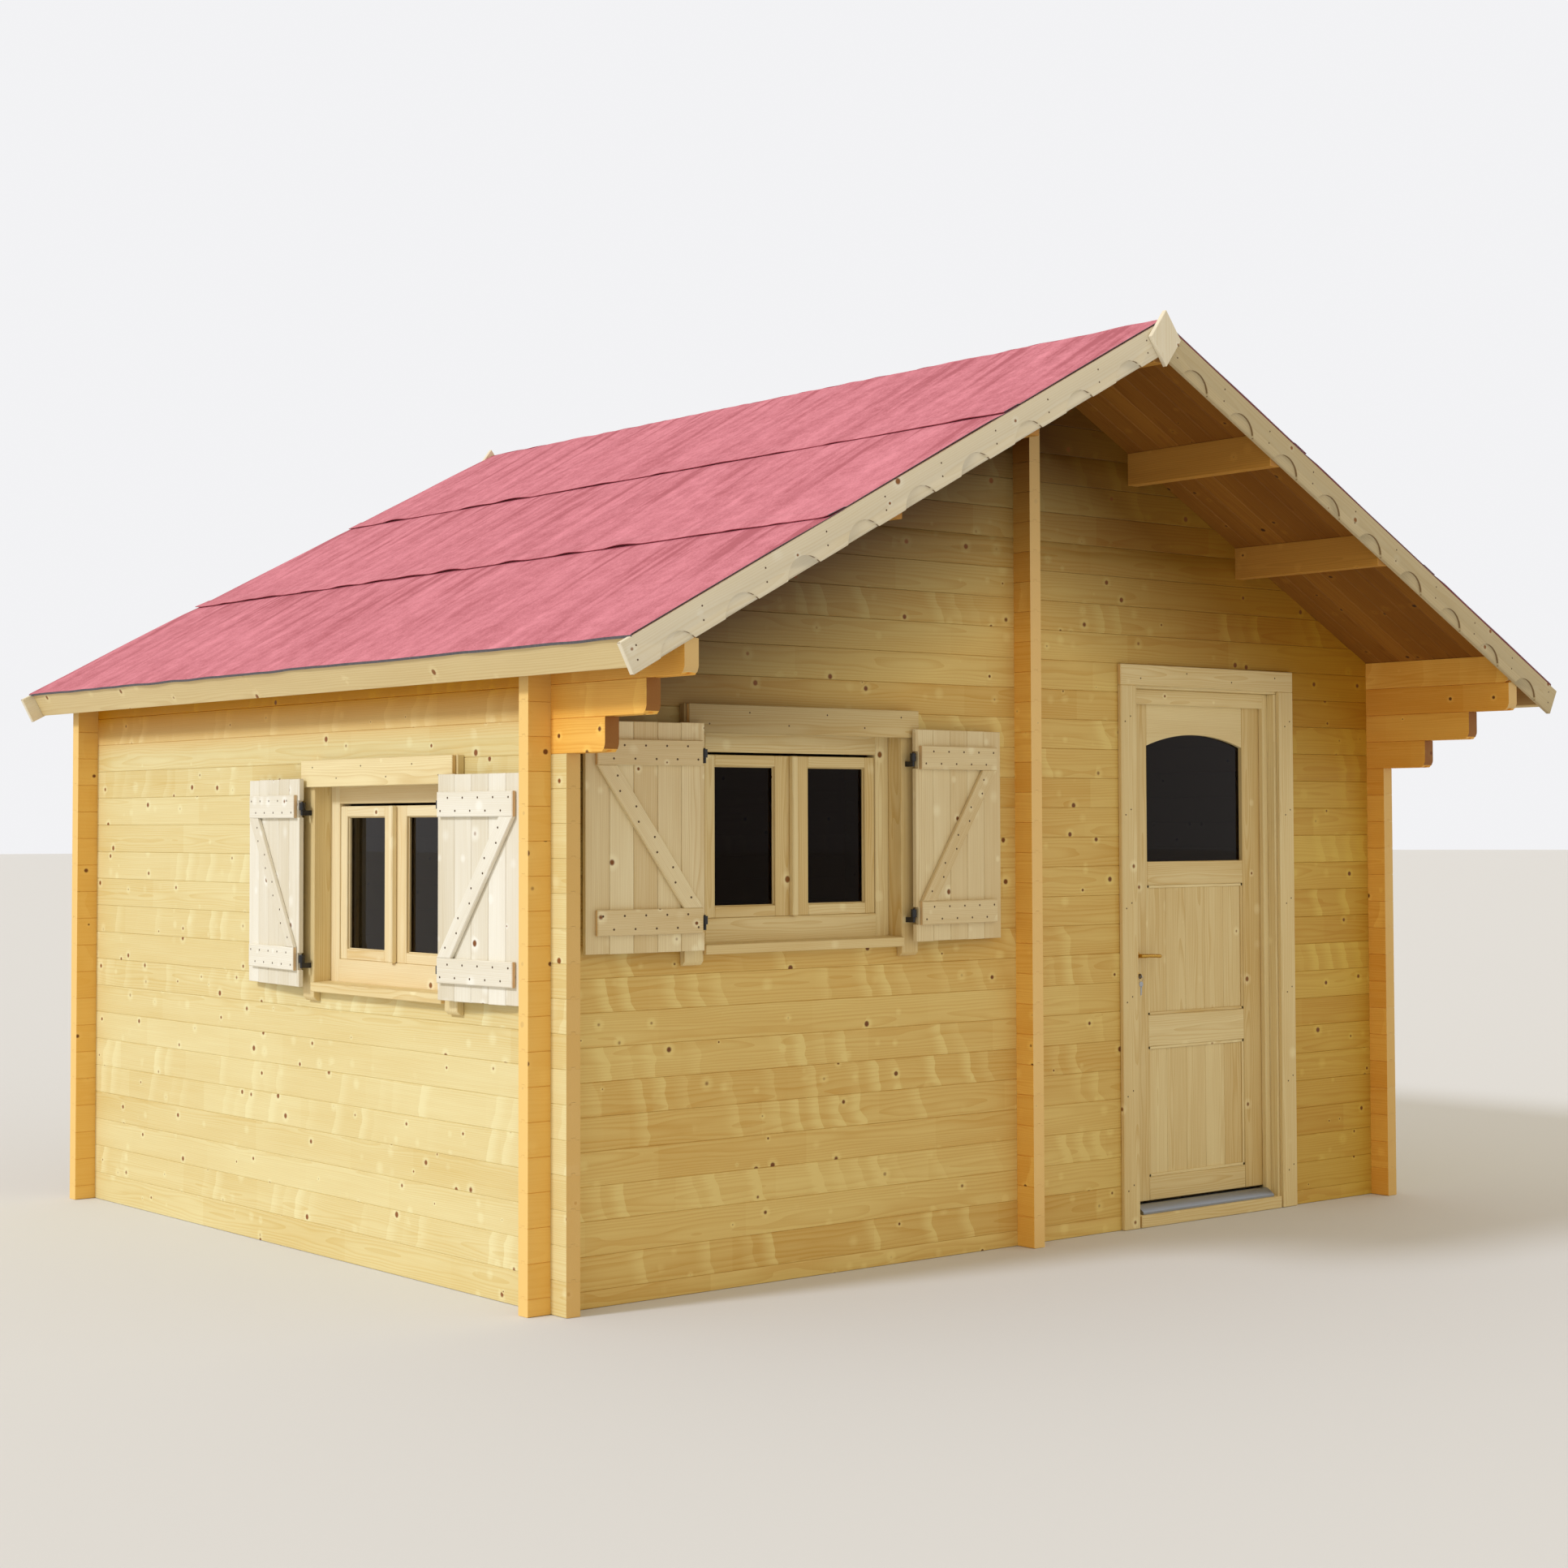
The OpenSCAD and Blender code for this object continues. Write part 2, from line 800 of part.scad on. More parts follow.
// Jambs and head of the door frame, with the stops that the leaf closes against
module door_frame() {
    deep = leaf_in_y - face_y;
    stop_y = leaf_y - stop_t - seat;
    color("wheat")
        translate([door_x, 0, 0]) {
            for (side = [0, 1])
                mirror([side, 0, 0]) {
                    translate([jamb_in, face_y, 0])
                        cube([jamb_t, deep, head_z - seat]);
                    translate([jamb_in - stop_w, stop_y, sill_h + seat])
                        cube([stop_w - seat, stop_t, head_z - sill_h - 2 * seat]);
                }
            translate([-jamb_out, face_y, head_z])
                cube([2 * jamb_out, deep, jamb_t]);
            translate([-jamb_in + stop_w + seat, stop_y, head_z - stop_h])
                cube([2 * (jamb_in - stop_w - seat), stop_t, stop_h - seat]);
        }
}

// Casing boards that cover the joint between the frame and the logs
module door_casing() {
    y0 = face_y - casing_t;
    color("wheat")
        translate([door_x, y0, 0]) {
            for (side = [0, 1])
                mirror([side, 0, 0])
                    translate([casing_in, 0, 0])
                        cube([casing_w, casing_t, casing_z - seat]);
            translate([-casing_in - casing_w, 0, casing_z])
                cube([2 * (casing_in + casing_w), casing_t, casing_head]);
        }
}

module door_sill() {
    color("wheat")
        translate([door_x - jamb_in + seat, face_y - casing_t, 0])
            cube([2 * (jamb_in - seat), leaf_in_y - face_y + casing_t, sill_h]);
}

// Metal threshold with a step that the leaf closes behind
module door_threshold() {
    w = 2 * (jamb_in - stop_w - seat);
    low = floor_top - sill_h;
    y0 = face_y;
    color("silver")
        translate([door_x - w / 2, 0, sill_h])
            rotate([90, 0, 90])
                linear_extrude(w)
                    polygon([[y0, 0], [leaf_in_y, 0], [leaf_in_y, low], [leaf_y - bite, low],
                             [leaf_y - bite, threshold_h], [leaf_y - bite - stop_t, threshold_h], [y0, low / 3]]);
}

// Framed leaf with two sunk panels and an arched opening for the glass
module door_leaf() {
    panels = [[rail_bottom, panel_low], [rail_bottom + panel_low + rail_mid, panel_high]];
    spindle_r = neck_r + 2 * neck_clear;
    color("wheat")
        difference() {
            translate([door_x - leaf_w / 2, leaf_y, leaf_z])
                cube([leaf_w, leaf_t, leaf_h]);
            translate([door_x, leaf_in_y + cut, glass_z])
                rotate([90, 0, 0])
                    linear_extrude(leaf_t + 2 * cut)
                        glass_outline(0);
            for (p = panels, y = [leaf_y - cut, leaf_in_y - panel_deep])
                translate([door_x - glass_half, y, leaf_z + p[0]])
                    cube([2 * glass_half, panel_deep + cut, p[1]]);
            translate([handle_x, leaf_in_y + cut, handle_z])
                rotate([90, 0, 0])
                    cylinder(r = spindle_r, h = leaf_t + 2 * cut);
        }
}

module door_glass() {
    color("darkslategray")
        translate([door_x, leaf_y + (leaf_t + glass_t) / 2, glass_z])
            rotate([90, 0, 0])
                linear_extrude(glass_t)
                    glass_outline(seat);
}

// Roses of the handle and of the lock cylinder, on both faces of the leaf
module door_roses() {
    bore = neck_r + neck_clear;
    color("goldenrod")
        for (y = [leaf_y, leaf_in_y + rose_t]) {
            translate([handle_x, y, handle_z])
                rotate([90, 0, 0])
                    difference() {
                        cylinder(r = rose_r, h = rose_t);
                        translate([0, 0, -cut])
                            cylinder(r = bore, h = rose_t + 2 * cut);
                    }
            translate([handle_x, y, handle_z - lock_drop])
                rotate([90, 0, 0])
                    cylinder(r = rose_r, h = rose_t);
        }
}

// Lever on each face, joined by the spindle through the leaf
module door_handle() {
    color("goldenrod")
        translate([handle_x, 0, handle_z]) {
            translate([0, leaf_in_y + lever_off, 0])
                rotate([90, 0, 0])
                    cylinder(r = neck_r, h = leaf_t + 2 * lever_off);
            for (y = [leaf_y - lever_off, leaf_in_y + lever_off])
                translate([0, y + lever_t / 2, 0])
                    rotate([90, 0, 0])
                        linear_extrude(lever_t)
                            lever_outline();
        }
}

// Lever seen square to the leaf: a bar with a round hub and a round tip
module lever_outline() {
    circle(r = hub_r);
    translate([0, -lever_h / 2])
        square([lever_len, lever_h]);
    translate([lever_len, 0])
        circle(r = lever_h / 2);
}

// Lower halves of the door's hinges, with their pins, on the right jamb
module door_hinge_pins() {
    color("silver")
        for (z = door_hinges) {
            translate([hinge_x, hinge_y, z - barrel_len])
                cylinder(r = barrel_r, h = barrel_len);
            translate([hinge_x, hinge_y, z - barrel_len])
                cylinder(r = pin_r, h = 2 * barrel_len - 2 * cut);
            translate([hinge_x, leaf_in_y, z - barrel_len])
                cube([jamb_t - hinge_side, plate_t, barrel_len]);
        }
}

// Upper halves of the door's hinges, on the leaf
module door_hinge_eyes() {
    color("silver")
        for (z = door_hinges)
            difference() {
                union() {
                    translate([hinge_x, hinge_y, z + seat])
                        cylinder(r = barrel_r, h = barrel_len);
                    translate([hinge_x - jamb_t, leaf_in_y, z + seat])
                        cube([jamb_t, plate_t, barrel_len]);
                }
                translate([hinge_x, hinge_y, z - cut])
                    cylinder(r = pin_r + pin_clear, h = barrel_len);
            }
}

// Windows, drawn with the wall's outer face on y = 0, the wall behind it and the opening's foot on z = 0

module at_front_window() {
    translate([-front_win_x, face_y, front_win_z])
        children();
}

module at_side_window() {
    translate([-x_side - half_t, y_front + side_win_y, side_win_z])
        rotate([0, 0, -90])
            children();
}

// The opening through the logs
module window_hole() {
    translate([-win_half, -log_t, -win_drop])
        cube([2 * win_half, 3 * log_t, win_h + win_rise + win_drop]);
}

module window_frame() {
    half = win_w / 2 - seat;
    rail_w = 2 * (half - win_side - seat);
    color("wheat")
        translate([0, win_set, -win_drop]) {
            for (side = [0, 1])
                mirror([side, 0, 0])
                    translate([half - win_side, 0, seat])
                        cube([win_side, win_deep, win_h + win_rise + win_drop - 2 * seat]);
            translate([-rail_w / 2, 0, seat])
                cube([rail_w, win_deep, win_bottom - seat]);
            translate([-rail_w / 2, 0, win_h + win_rise + win_drop - win_top])
                cube([rail_w, win_deep, win_top - seat]);
        }
}

// Right hinge post: a board on the wall with a bevelled foot, and a lining that covers the ends of the logs
module hinge_post() {
    foot = post_t / 2;
    top = win_h + head_up + head_h;
    inner = (post_gap - post_w) / 2;
    translate([inner, 0, 0])
        rotate([90, 0, 90])
            linear_extrude(post_w)
                polygon([[0, -post_low], [-post_t + foot, -post_low], [-post_t, foot - post_low], [-post_t, top], [0, top]]);
    translate([win_w / 2, -foot, -win_drop + seat])
        cube([lining_t, foot + win_set + win_deep, win_h + win_rise + win_drop - 2 * seat]);
}

// Hinge posts, the board over the window and the sill between the posts
module window_casing() {
    inner = min(win_w, post_gap - post_w) / 2 - seat;
    head_w = post_gap + post_w - 2 * head_in;
    foot = -win_drop + seat;
    color("wheat") {
        for (side = [0, 1])
            mirror([side, 0, 0])
                hinge_post();
        translate([-head_w / 2, -post_t - head_t - seat, win_h + head_up])
            cube([head_w, head_t, head_h]);
        translate([-inner, 0, 0])
            rotate([90, 0, 90])
                linear_extrude(2 * inner)
                    polygon([[-win_sill_out, foot - win_sill_h], [0, foot - win_sill_h], [0, foot],
                             [win_set - seat, foot], [win_set - seat, foot + bite], [-win_sill_out, foot + cut]]);
    }
}

// Two fixed sashes, with a cover strip where they meet
module window_sashes() {
    w = sash_u - seat;
    color("wheat") {
        for (side = [0, 1])
            mirror([side, 0, 0])
                translate([seat, sash_y, sash_z])
                    difference() {
                        cube([w, sash_t, sash_h]);
                        translate([sash_meet, -cut, sash_rail])
                            cube([w - sash_meet - sash_side, sash_t + 2 * cut, sash_h - 2 * sash_rail]);
                    }
        translate([-strip_w / 2, sash_y - strip_t - seat, sash_z])
            cube([strip_w, strip_t, sash_h]);
    }
}

module window_glass() {
    w = sash_u - seat - sash_meet - sash_side - 2 * seat;
    color("darkslategray")
        for (side = [0, 1])
            mirror([side, 0, 0])
                translate([2 * seat + sash_meet, sash_y + (sash_t - glass_t) / 2, sash_z + sash_rail + seat])
                    cube([w, glass_t, sash_h - 2 * sash_rail - 2 * seat]);
}

module front_window_frame() {
    at_front_window()
        window_frame();
}

module front_window_casing() {
    at_front_window()
        window_casing();
}

module front_window_sashes() {
    at_front_window()
        window_sashes();
}

module front_window_glass() {
    at_front_window()
        window_glass();
}

module side_window_frame() {
    at_side_window()
        window_frame();
}

module side_window_casing() {
    at_side_window()
        window_casing();
}

module side_window_sashes() {
    at_side_window()
        window_sashes();
}

module side_window_glass() {
    at_side_window()
        window_glass();
}

// Shutters, drawn for the right leaf of a window, folded back against the wall

// Brackets on the hinge posts with the pins that the shutters hang on
module shutter_brackets() {
    color("black")
        for (side = [0, 1], z = hinge_z)
            mirror([side, 0, 0])
                translate([hinge_u, -hinge_out, z - eye_h / 2]) {
                    translate([-arm_w / 2, 0, -arm_h - seat])
                        cube([arm_w, hinge_out - post_t, arm_h]);
                    translate([0, 0, -arm_h - seat])
                        cylinder(r = arm_w / 2, h = arm_h);
                    cylinder(r = pin_r, h = eye_h + pin_tip);
                    translate([0, 0, -arm_h - seat])
                        cylinder(r = pin_r, h = arm_h + seat + cut);
                }
}

module front_shutter_brackets() {
    at_front_window()
        shutter_brackets();
}

module side_shutter_brackets() {
    at_side_window()
        shutter_brackets();
}

// Turns a shutter's pieces to the open pose: the axis on x = 0, y = 0, the leaf along +X
module hung_right() {
    translate([hinge_u, -hinge_out, win_h / 2 + shutter_up])
        rotate([0, 0, lean])
            children();
}

module hung_left() {
    mirror([1, 0, 0])
        hung_right()
            children();
}

// Boards with two battens and a brace that rises from the hinge edge; cut back round the hinge eyes
module shutter_leaf() {
    batten_len = shutter_w - batten_free - batten_hinge;
    x0 = hinge_edge + batten_hinge;
    x1 = x0 + batten_len;
    z0 = -batten_off + batten_h / 2;
    z1 = batten_off - batten_h / 2;
    color("antiquewhite")
        difference() {
            union() {
                translate([hinge_edge, -board_t / 2, -shutter_h / 2])
                    cube([shutter_w, board_t, shutter_h]);
                for (side = [-1, 1])
                    translate([x0, -board_t / 2 - batten_t, side * batten_off - batten_h / 2])
                        cube([batten_len, batten_t + cut, batten_h]);
                translate([0, -board_t / 2 + cut, 0])
                    rotate([90, 0, 0])
                        linear_extrude(batten_t + cut)
                            polygon([[x0, z0], [x0 + brace_w, z0], [x1, z1], [x1 - brace_w, z1]]);
            }
            for (side = [-1, 1])
                translate([-cut, -board_t, side * batten_off - eye_h / 2 - gain_low])
                    cube([eye_gain + cut, 2 * board_t, eye_h + gain_low + gain_high]);
        }
}

// Hinge straps on the wall side of a shutter, each with an eye for its pin
module shutter_straps() {
    color("black")
        for (side = [-1, 1])
            translate([0, 0, side * batten_off - eye_h / 2])
                difference() {
                    union() {
                        cylinder(r = eye_r, h = eye_h);
                        translate([0, board_t / 2, 0])
                            cube([strap_len, strap_t, eye_h]);
                    }
                    translate([0, 0, -cut])
                        cylinder(r = pin_r + pin_clear, h = eye_h + 2 * cut);
                }
}

module front_shutter_left() {
    at_front_window()
        hung_left()
            shutter_leaf();
}

module front_shutter_right() {
    at_front_window()
        hung_right()
            shutter_leaf();
}

module side_shutter_left() {
    at_side_window()
        hung_left()
            shutter_leaf();
}

module side_shutter_right() {
    at_side_window()
        hung_right()
            shutter_leaf();
}

module front_straps_left() {
    at_front_window()
        hung_left()
            shutter_straps();
}

module front_straps_right() {
    at_front_window()
        hung_right()
            shutter_straps();
}

module side_straps_left() {
    at_side_window()
        hung_left()
            shutter_straps();
}

module side_straps_right() {
    at_side_window()
        hung_right()
            shutter_straps();
}

floor_bearers();
floor();
front_wall_left();
front_wall_right();
front_gable();
back_wall();
back_gable();
left_wall();
left_eave_logs();
right_wall();
right_eave_logs();
front_brace_logs();
back_brace_logs();
ridge_purlin();
left_purlins();
right_purlins();
roof_deck_left();
roof_deck_right();
roof_felt_left();
roof_felt_right();
fascia_left();
fascia_right();
bargeboard_front_left();
bargeboard_front_right();
bargeboard_back_left();
bargeboard_back_right();
diamond_front();
diamond_back();
door_frame();
door_casing();
door_sill();
door_threshold();
door_leaf();
door_glass();
door_roses();
door_handle();
door_hinge_pins();
door_hinge_eyes();
front_window_frame();
front_window_casing();
front_window_sashes();
front_window_glass();
side_window_frame();
side_window_casing();
side_window_sashes();
side_window_glass();
front_shutter_brackets();
side_shutter_brackets();
front_shutter_left();
front_shutter_right();
side_shutter_left();
side_shutter_right();
front_straps_left();
front_straps_right();
side_straps_left();
side_straps_right();
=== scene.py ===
import itertools
import json
import math
import random

import bmesh
import bpy
from mathutils import Matrix, Vector, noise
from mathutils.bvhtree import BVHTree

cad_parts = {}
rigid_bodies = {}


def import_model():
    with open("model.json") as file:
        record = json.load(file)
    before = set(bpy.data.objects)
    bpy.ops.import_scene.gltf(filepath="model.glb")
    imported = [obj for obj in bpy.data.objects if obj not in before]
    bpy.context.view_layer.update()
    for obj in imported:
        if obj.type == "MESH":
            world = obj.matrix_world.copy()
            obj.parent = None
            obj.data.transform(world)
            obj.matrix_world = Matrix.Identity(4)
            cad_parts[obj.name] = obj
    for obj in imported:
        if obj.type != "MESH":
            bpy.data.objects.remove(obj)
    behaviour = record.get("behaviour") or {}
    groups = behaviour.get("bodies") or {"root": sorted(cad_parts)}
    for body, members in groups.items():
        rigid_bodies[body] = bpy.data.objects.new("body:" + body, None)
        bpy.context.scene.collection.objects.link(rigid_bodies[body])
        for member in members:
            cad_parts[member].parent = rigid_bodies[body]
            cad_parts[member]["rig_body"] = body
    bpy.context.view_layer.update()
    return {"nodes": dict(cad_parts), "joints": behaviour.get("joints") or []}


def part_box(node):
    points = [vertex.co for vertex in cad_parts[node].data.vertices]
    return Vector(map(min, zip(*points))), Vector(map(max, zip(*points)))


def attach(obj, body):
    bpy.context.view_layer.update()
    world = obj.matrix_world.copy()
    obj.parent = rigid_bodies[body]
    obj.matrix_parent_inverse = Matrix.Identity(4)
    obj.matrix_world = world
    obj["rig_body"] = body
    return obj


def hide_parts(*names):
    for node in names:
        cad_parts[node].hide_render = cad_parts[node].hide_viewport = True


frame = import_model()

scene = bpy.context.scene
rng = random.Random(11)
right, back, up = Vector((1, 0, 0)), Vector((0, 1, 0)), Vector((0, 0, 1))
print("stage: frame loaded")

# What a user would change, by piece. Lengths are in metres, colours are as they look in plain light,
# save where a comment below says that light or shade is painted into them.
# sideLogs is a paler copy of the log colour for the sunlit side walls: painted light. Its tint from 1.98 m to 2.16 m
# darkens the top courses to orange: painted shadow under the eave.
sideLogs = {"pale": "#EAE0AE", "deep": "#D3B76E", "knot": "#8A5326", "end": "#DFB366", "ring": 0.006, "toneSpread": 0.24,
            "knotShare": 0.36, "roughness": 0.52, "bar": 0.10, "barShare": 0.5, "barPale": 0.4, "length": 0.7,
            "lengthSpread": 0.2, "roofShade": "#F8BC28", "fall": 0.0, "roofShadeFrom": 1.98, "roofShadeTo": 2.16}
# frontLogs is a deeper, more saturated copy of the log colour for the shaded front and back walls and gables: painted
# shade. Its tints add painted shade that deepens up towards the roof, grows warmer and lighter to the right of the
# middle, and turns the log ends past the corners orange.
frontLogs = {"pale": "#E7D087", "deep": "#CA9C47", "knot": "#74441B", "end": "#F2CC80", "ring": 0.006, "toneSpread": 0.34,
             "knotShare": 0.34, "roughness": 0.52, "bar": 0.10, "barShare": 0.4, "barPale": 0.6, "length": 0.7,
             "lengthSpread": 0.22, "roofShade": "#4F3819", "fall": 0.525, "roofShadeFrom": 2.5, "roofShadeTo": 3.3,
             "warm": "#E7DA95", "warmRoofShade": "#E7CB7C", "warmFrom": 0.0, "warmTo": 2.2, "corner": "#F4BE5C",
             "cornerFrom": 2.262}
# eaveLogs is an amber copy of the log colour for the eave logs in the roof's shadow: painted shade. Its very dark brown
# end colour is painted shade on their sawn ends.
eaveLogs = {"pale": "#FDCB65", "deep": "#E0972E", "knot": "#74441B", "end": "#6E3000", "ring": 0.006, "toneSpread": 0.34,
            "knotShare": 0.3, "roughness": 0.52, "bar": 0.10, "barShare": 0.3, "barPale": 0.4, "length": 0.7,
            "lengthSpread": 0.22}
# braceLogs is a brighter orange copy of the eave-log colour for the brace logs: painted warm light bounced onto their
# shaded faces. Its tint darkens them up towards the roof: painted shade.
braceLogs = dict(eaveLogs, pale="#FFD270", deep="#E6A43C", end="#EBCB8C", roofShade="#6A4418", fall=0.525,
                 roofShadeFrom=2.4, roofShadeTo=3.3)
# The trim's end colour is dark brown: painted shadow on the curved walls of the bargeboard pockets.
trim = {"pale": "#EDE7D5", "deep": "#DACBA9", "knot": "#8B5A2C", "end": "#6E4E26", "ring": 0.006, "toneSpread": 0.35,
        "knotShare": 0.2, "roughness": 0.55, "nail": 0.0035, "nailFirst": 0.108, "nailStep": 0.299}
# rightTrim is a darker, yellower copy of the trim colour for the front right bargeboard: painted shade.
rightTrim = dict(trim, pale="#C6B896", deep="#B6A176")
fascia = {"pale": "#E6D5A4", "deep": "#CBB17C", "knot": "#8B5A2C", "end": "#CDAF74", "ring": 0.006, "toneSpread": 0.3,
          "knotShare": 0.25, "roughness": 0.55, "scarf": 0.302, "slant": 0.095}
joinery = {"pale": "#EFE1B2", "deep": "#C8A55E", "knot": "#8B5A2C", "end": "#D9B577", "ring": 0.005, "toneSpread": 0.42,
           "knotShare": 0.12, "roughness": 0.5}
# sideJoinery is a paler copy of the joinery colour for the sunlit side window: painted light.
sideJoinery = dict(joinery, pale="#F3E8C4", deep="#D8B87A")
# headJoinery darkens the front window casing up towards the roof: painted shade.
headJoinery = dict(joinery, roofShade="#6C5930", fall=0.525, roofShadeFrom=2.3, roofShadeTo=3.35)
shutters = {"pale": "#F4F3EB", "deep": "#CFC3A6", "knot": "#7E4C22", "end": "#D8B27C", "ring": 0.005, "toneSpread": 0.4,
            "knotShare": 0.36, "roughness": 0.6,
            "boards": 5, "gap": 0.0012, "edge": 0.002, "nail": 0.0042, "lean": 5, "wide": 0.492, "thick": 0.020,
            "batten": 0.018, "battenOff": 0.298, "battenTall": 0.090, "brace": 0.080, "hingeEdge": 0.006,
            "battenHinge": 0.016, "battenFree": 0.040, "gain": 0.0195, "gainUp": 0.023, "gainDown": 0.043}
# The shutters colour is the paler one of the sunlit side shutters, and frontShutters a darker, warmer copy for the
# shaded front: painted light and shade.
frontShutters = dict(shutters, pale="#F2E8C4", deep="#C6A76C")
# The roof boards and purlins are coloured dark brown rather than pale spruce: painted shade of the roof's underside.
deck = {"pale": "#9B6824", "deep": "#76460E", "knot": "#3E220C", "end": "#A9783A", "ring": 0.006, "toneSpread": 0.6,
        "knotShare": 0.36, "roughness": 0.6, "board": 0.096, "edge": 0.0025}
purlins = dict(deck, pale="#CB9745", deep="#9E6C26")
floorBoards = {"pale": "#D9BC8C", "deep": "#B38E5B", "knot": "#6B4522", "end": "#A97F4B", "ring": 0.006, "toneSpread": 0.4,
               "knotShare": 0.25, "roughness": 0.6, "board": 0.096, "edge": 0.002}
# The felt's lap edge colour, a dark red, is painted shade along the step at each lap.
felt = {"colour": "#DE8A9C", "streak": "#AE5867", "lapEdge": "#A04555", "edge": "#3B3A3F", "thick": 0.0026, "lap": 0.08,
        "show": 0.935, "drip": 0.010, "fold": 0.75, "lip": 0.007, "lift": 0.016, "wave": 0.003, "columns": 170, "rows": 26}
door = {"stile": 0.136, "bottom": 0.098, "lowPanel": 0.545, "mid": 0.132, "highPanel": 0.546, "lock": 0.100,
        "top": 0.139, "rise": 0.050, "boards": 5, "sunk": 0.009, "bead": 0.012, "edge": 0.0025, "vee": 0.0014}
windows = {"side": 0.048, "meet": 0.080, "rail": 0.041, "thick": 0.046, "strip": 0.027, "stripThick": 0.024,
           "bead": 0.004, "edge": 0.0025}
handle = {"off": 0.045, "length": 0.114, "neck": 0.0085, "grip": 0.0078, "rose": 0.024, "roseThick": 0.007,
          "lockDrop": 0.085}
metals = {"brass": "#C79A45", "iron": "#17171A", "zinc": "#A9ABAD", "aluminium": "#9EA3A8", "nail": "#66523F"}
glass = {"tint": "#6B5A48", "ior": 1.52, "coating": "#4A3624"}
light = {"sun": 1.66, "sunColour": "#F4F8FF", "sunFrom": (-1.0, 0.12, 0.68), "sunAngle": 9, "sky": 0.78,
         "skyColour": "#FFF1D6", "backdrop": 0.95, "backdropColour": "#F8F8FA", "floor": "#DCDFE6"}
camera = {"place": (-7.3061, -8.9496, 1.6772), "turn": 39.339, "tilt": 2.162, "roll": -0.162, "lens": 59.37,
          "sensor": 36, "shift": (0.0019, -0.0369)}


def linearColour(code):
    parts = [int(code[i:i + 2], 16) / 255 for i in (1, 3, 5)]
    linear = [c / 12.92 if c <= 0.04045 else ((c + 0.055) / 1.055) ** 2.4 for c in parts]
    return (*linear, 1.0)


def addNode(tree, kind, inputs=None, **settings):
    node = tree.nodes.new("ShaderNode" + kind)
    for key, value in settings.items():
        setattr(node, key, value)
    for key, value in (inputs or {}).items():
        if isinstance(value, bpy.types.NodeSocket):
            tree.links.new(value, node.inputs[key])
        else:
            node.inputs[key].default_value = value
    return node


def newMaterial(name):
    material = bpy.data.materials.new(name)
    material.use_nodes = True
    material.node_tree.nodes.clear()
    return material, material.node_tree


def finishMaterial(tree, inputs):
    shader = addNode(tree, "BsdfPrincipled", inputs)
    addNode(tree, "OutputMaterial", {"Surface": shader.outputs["BSDF"]})
    return shader


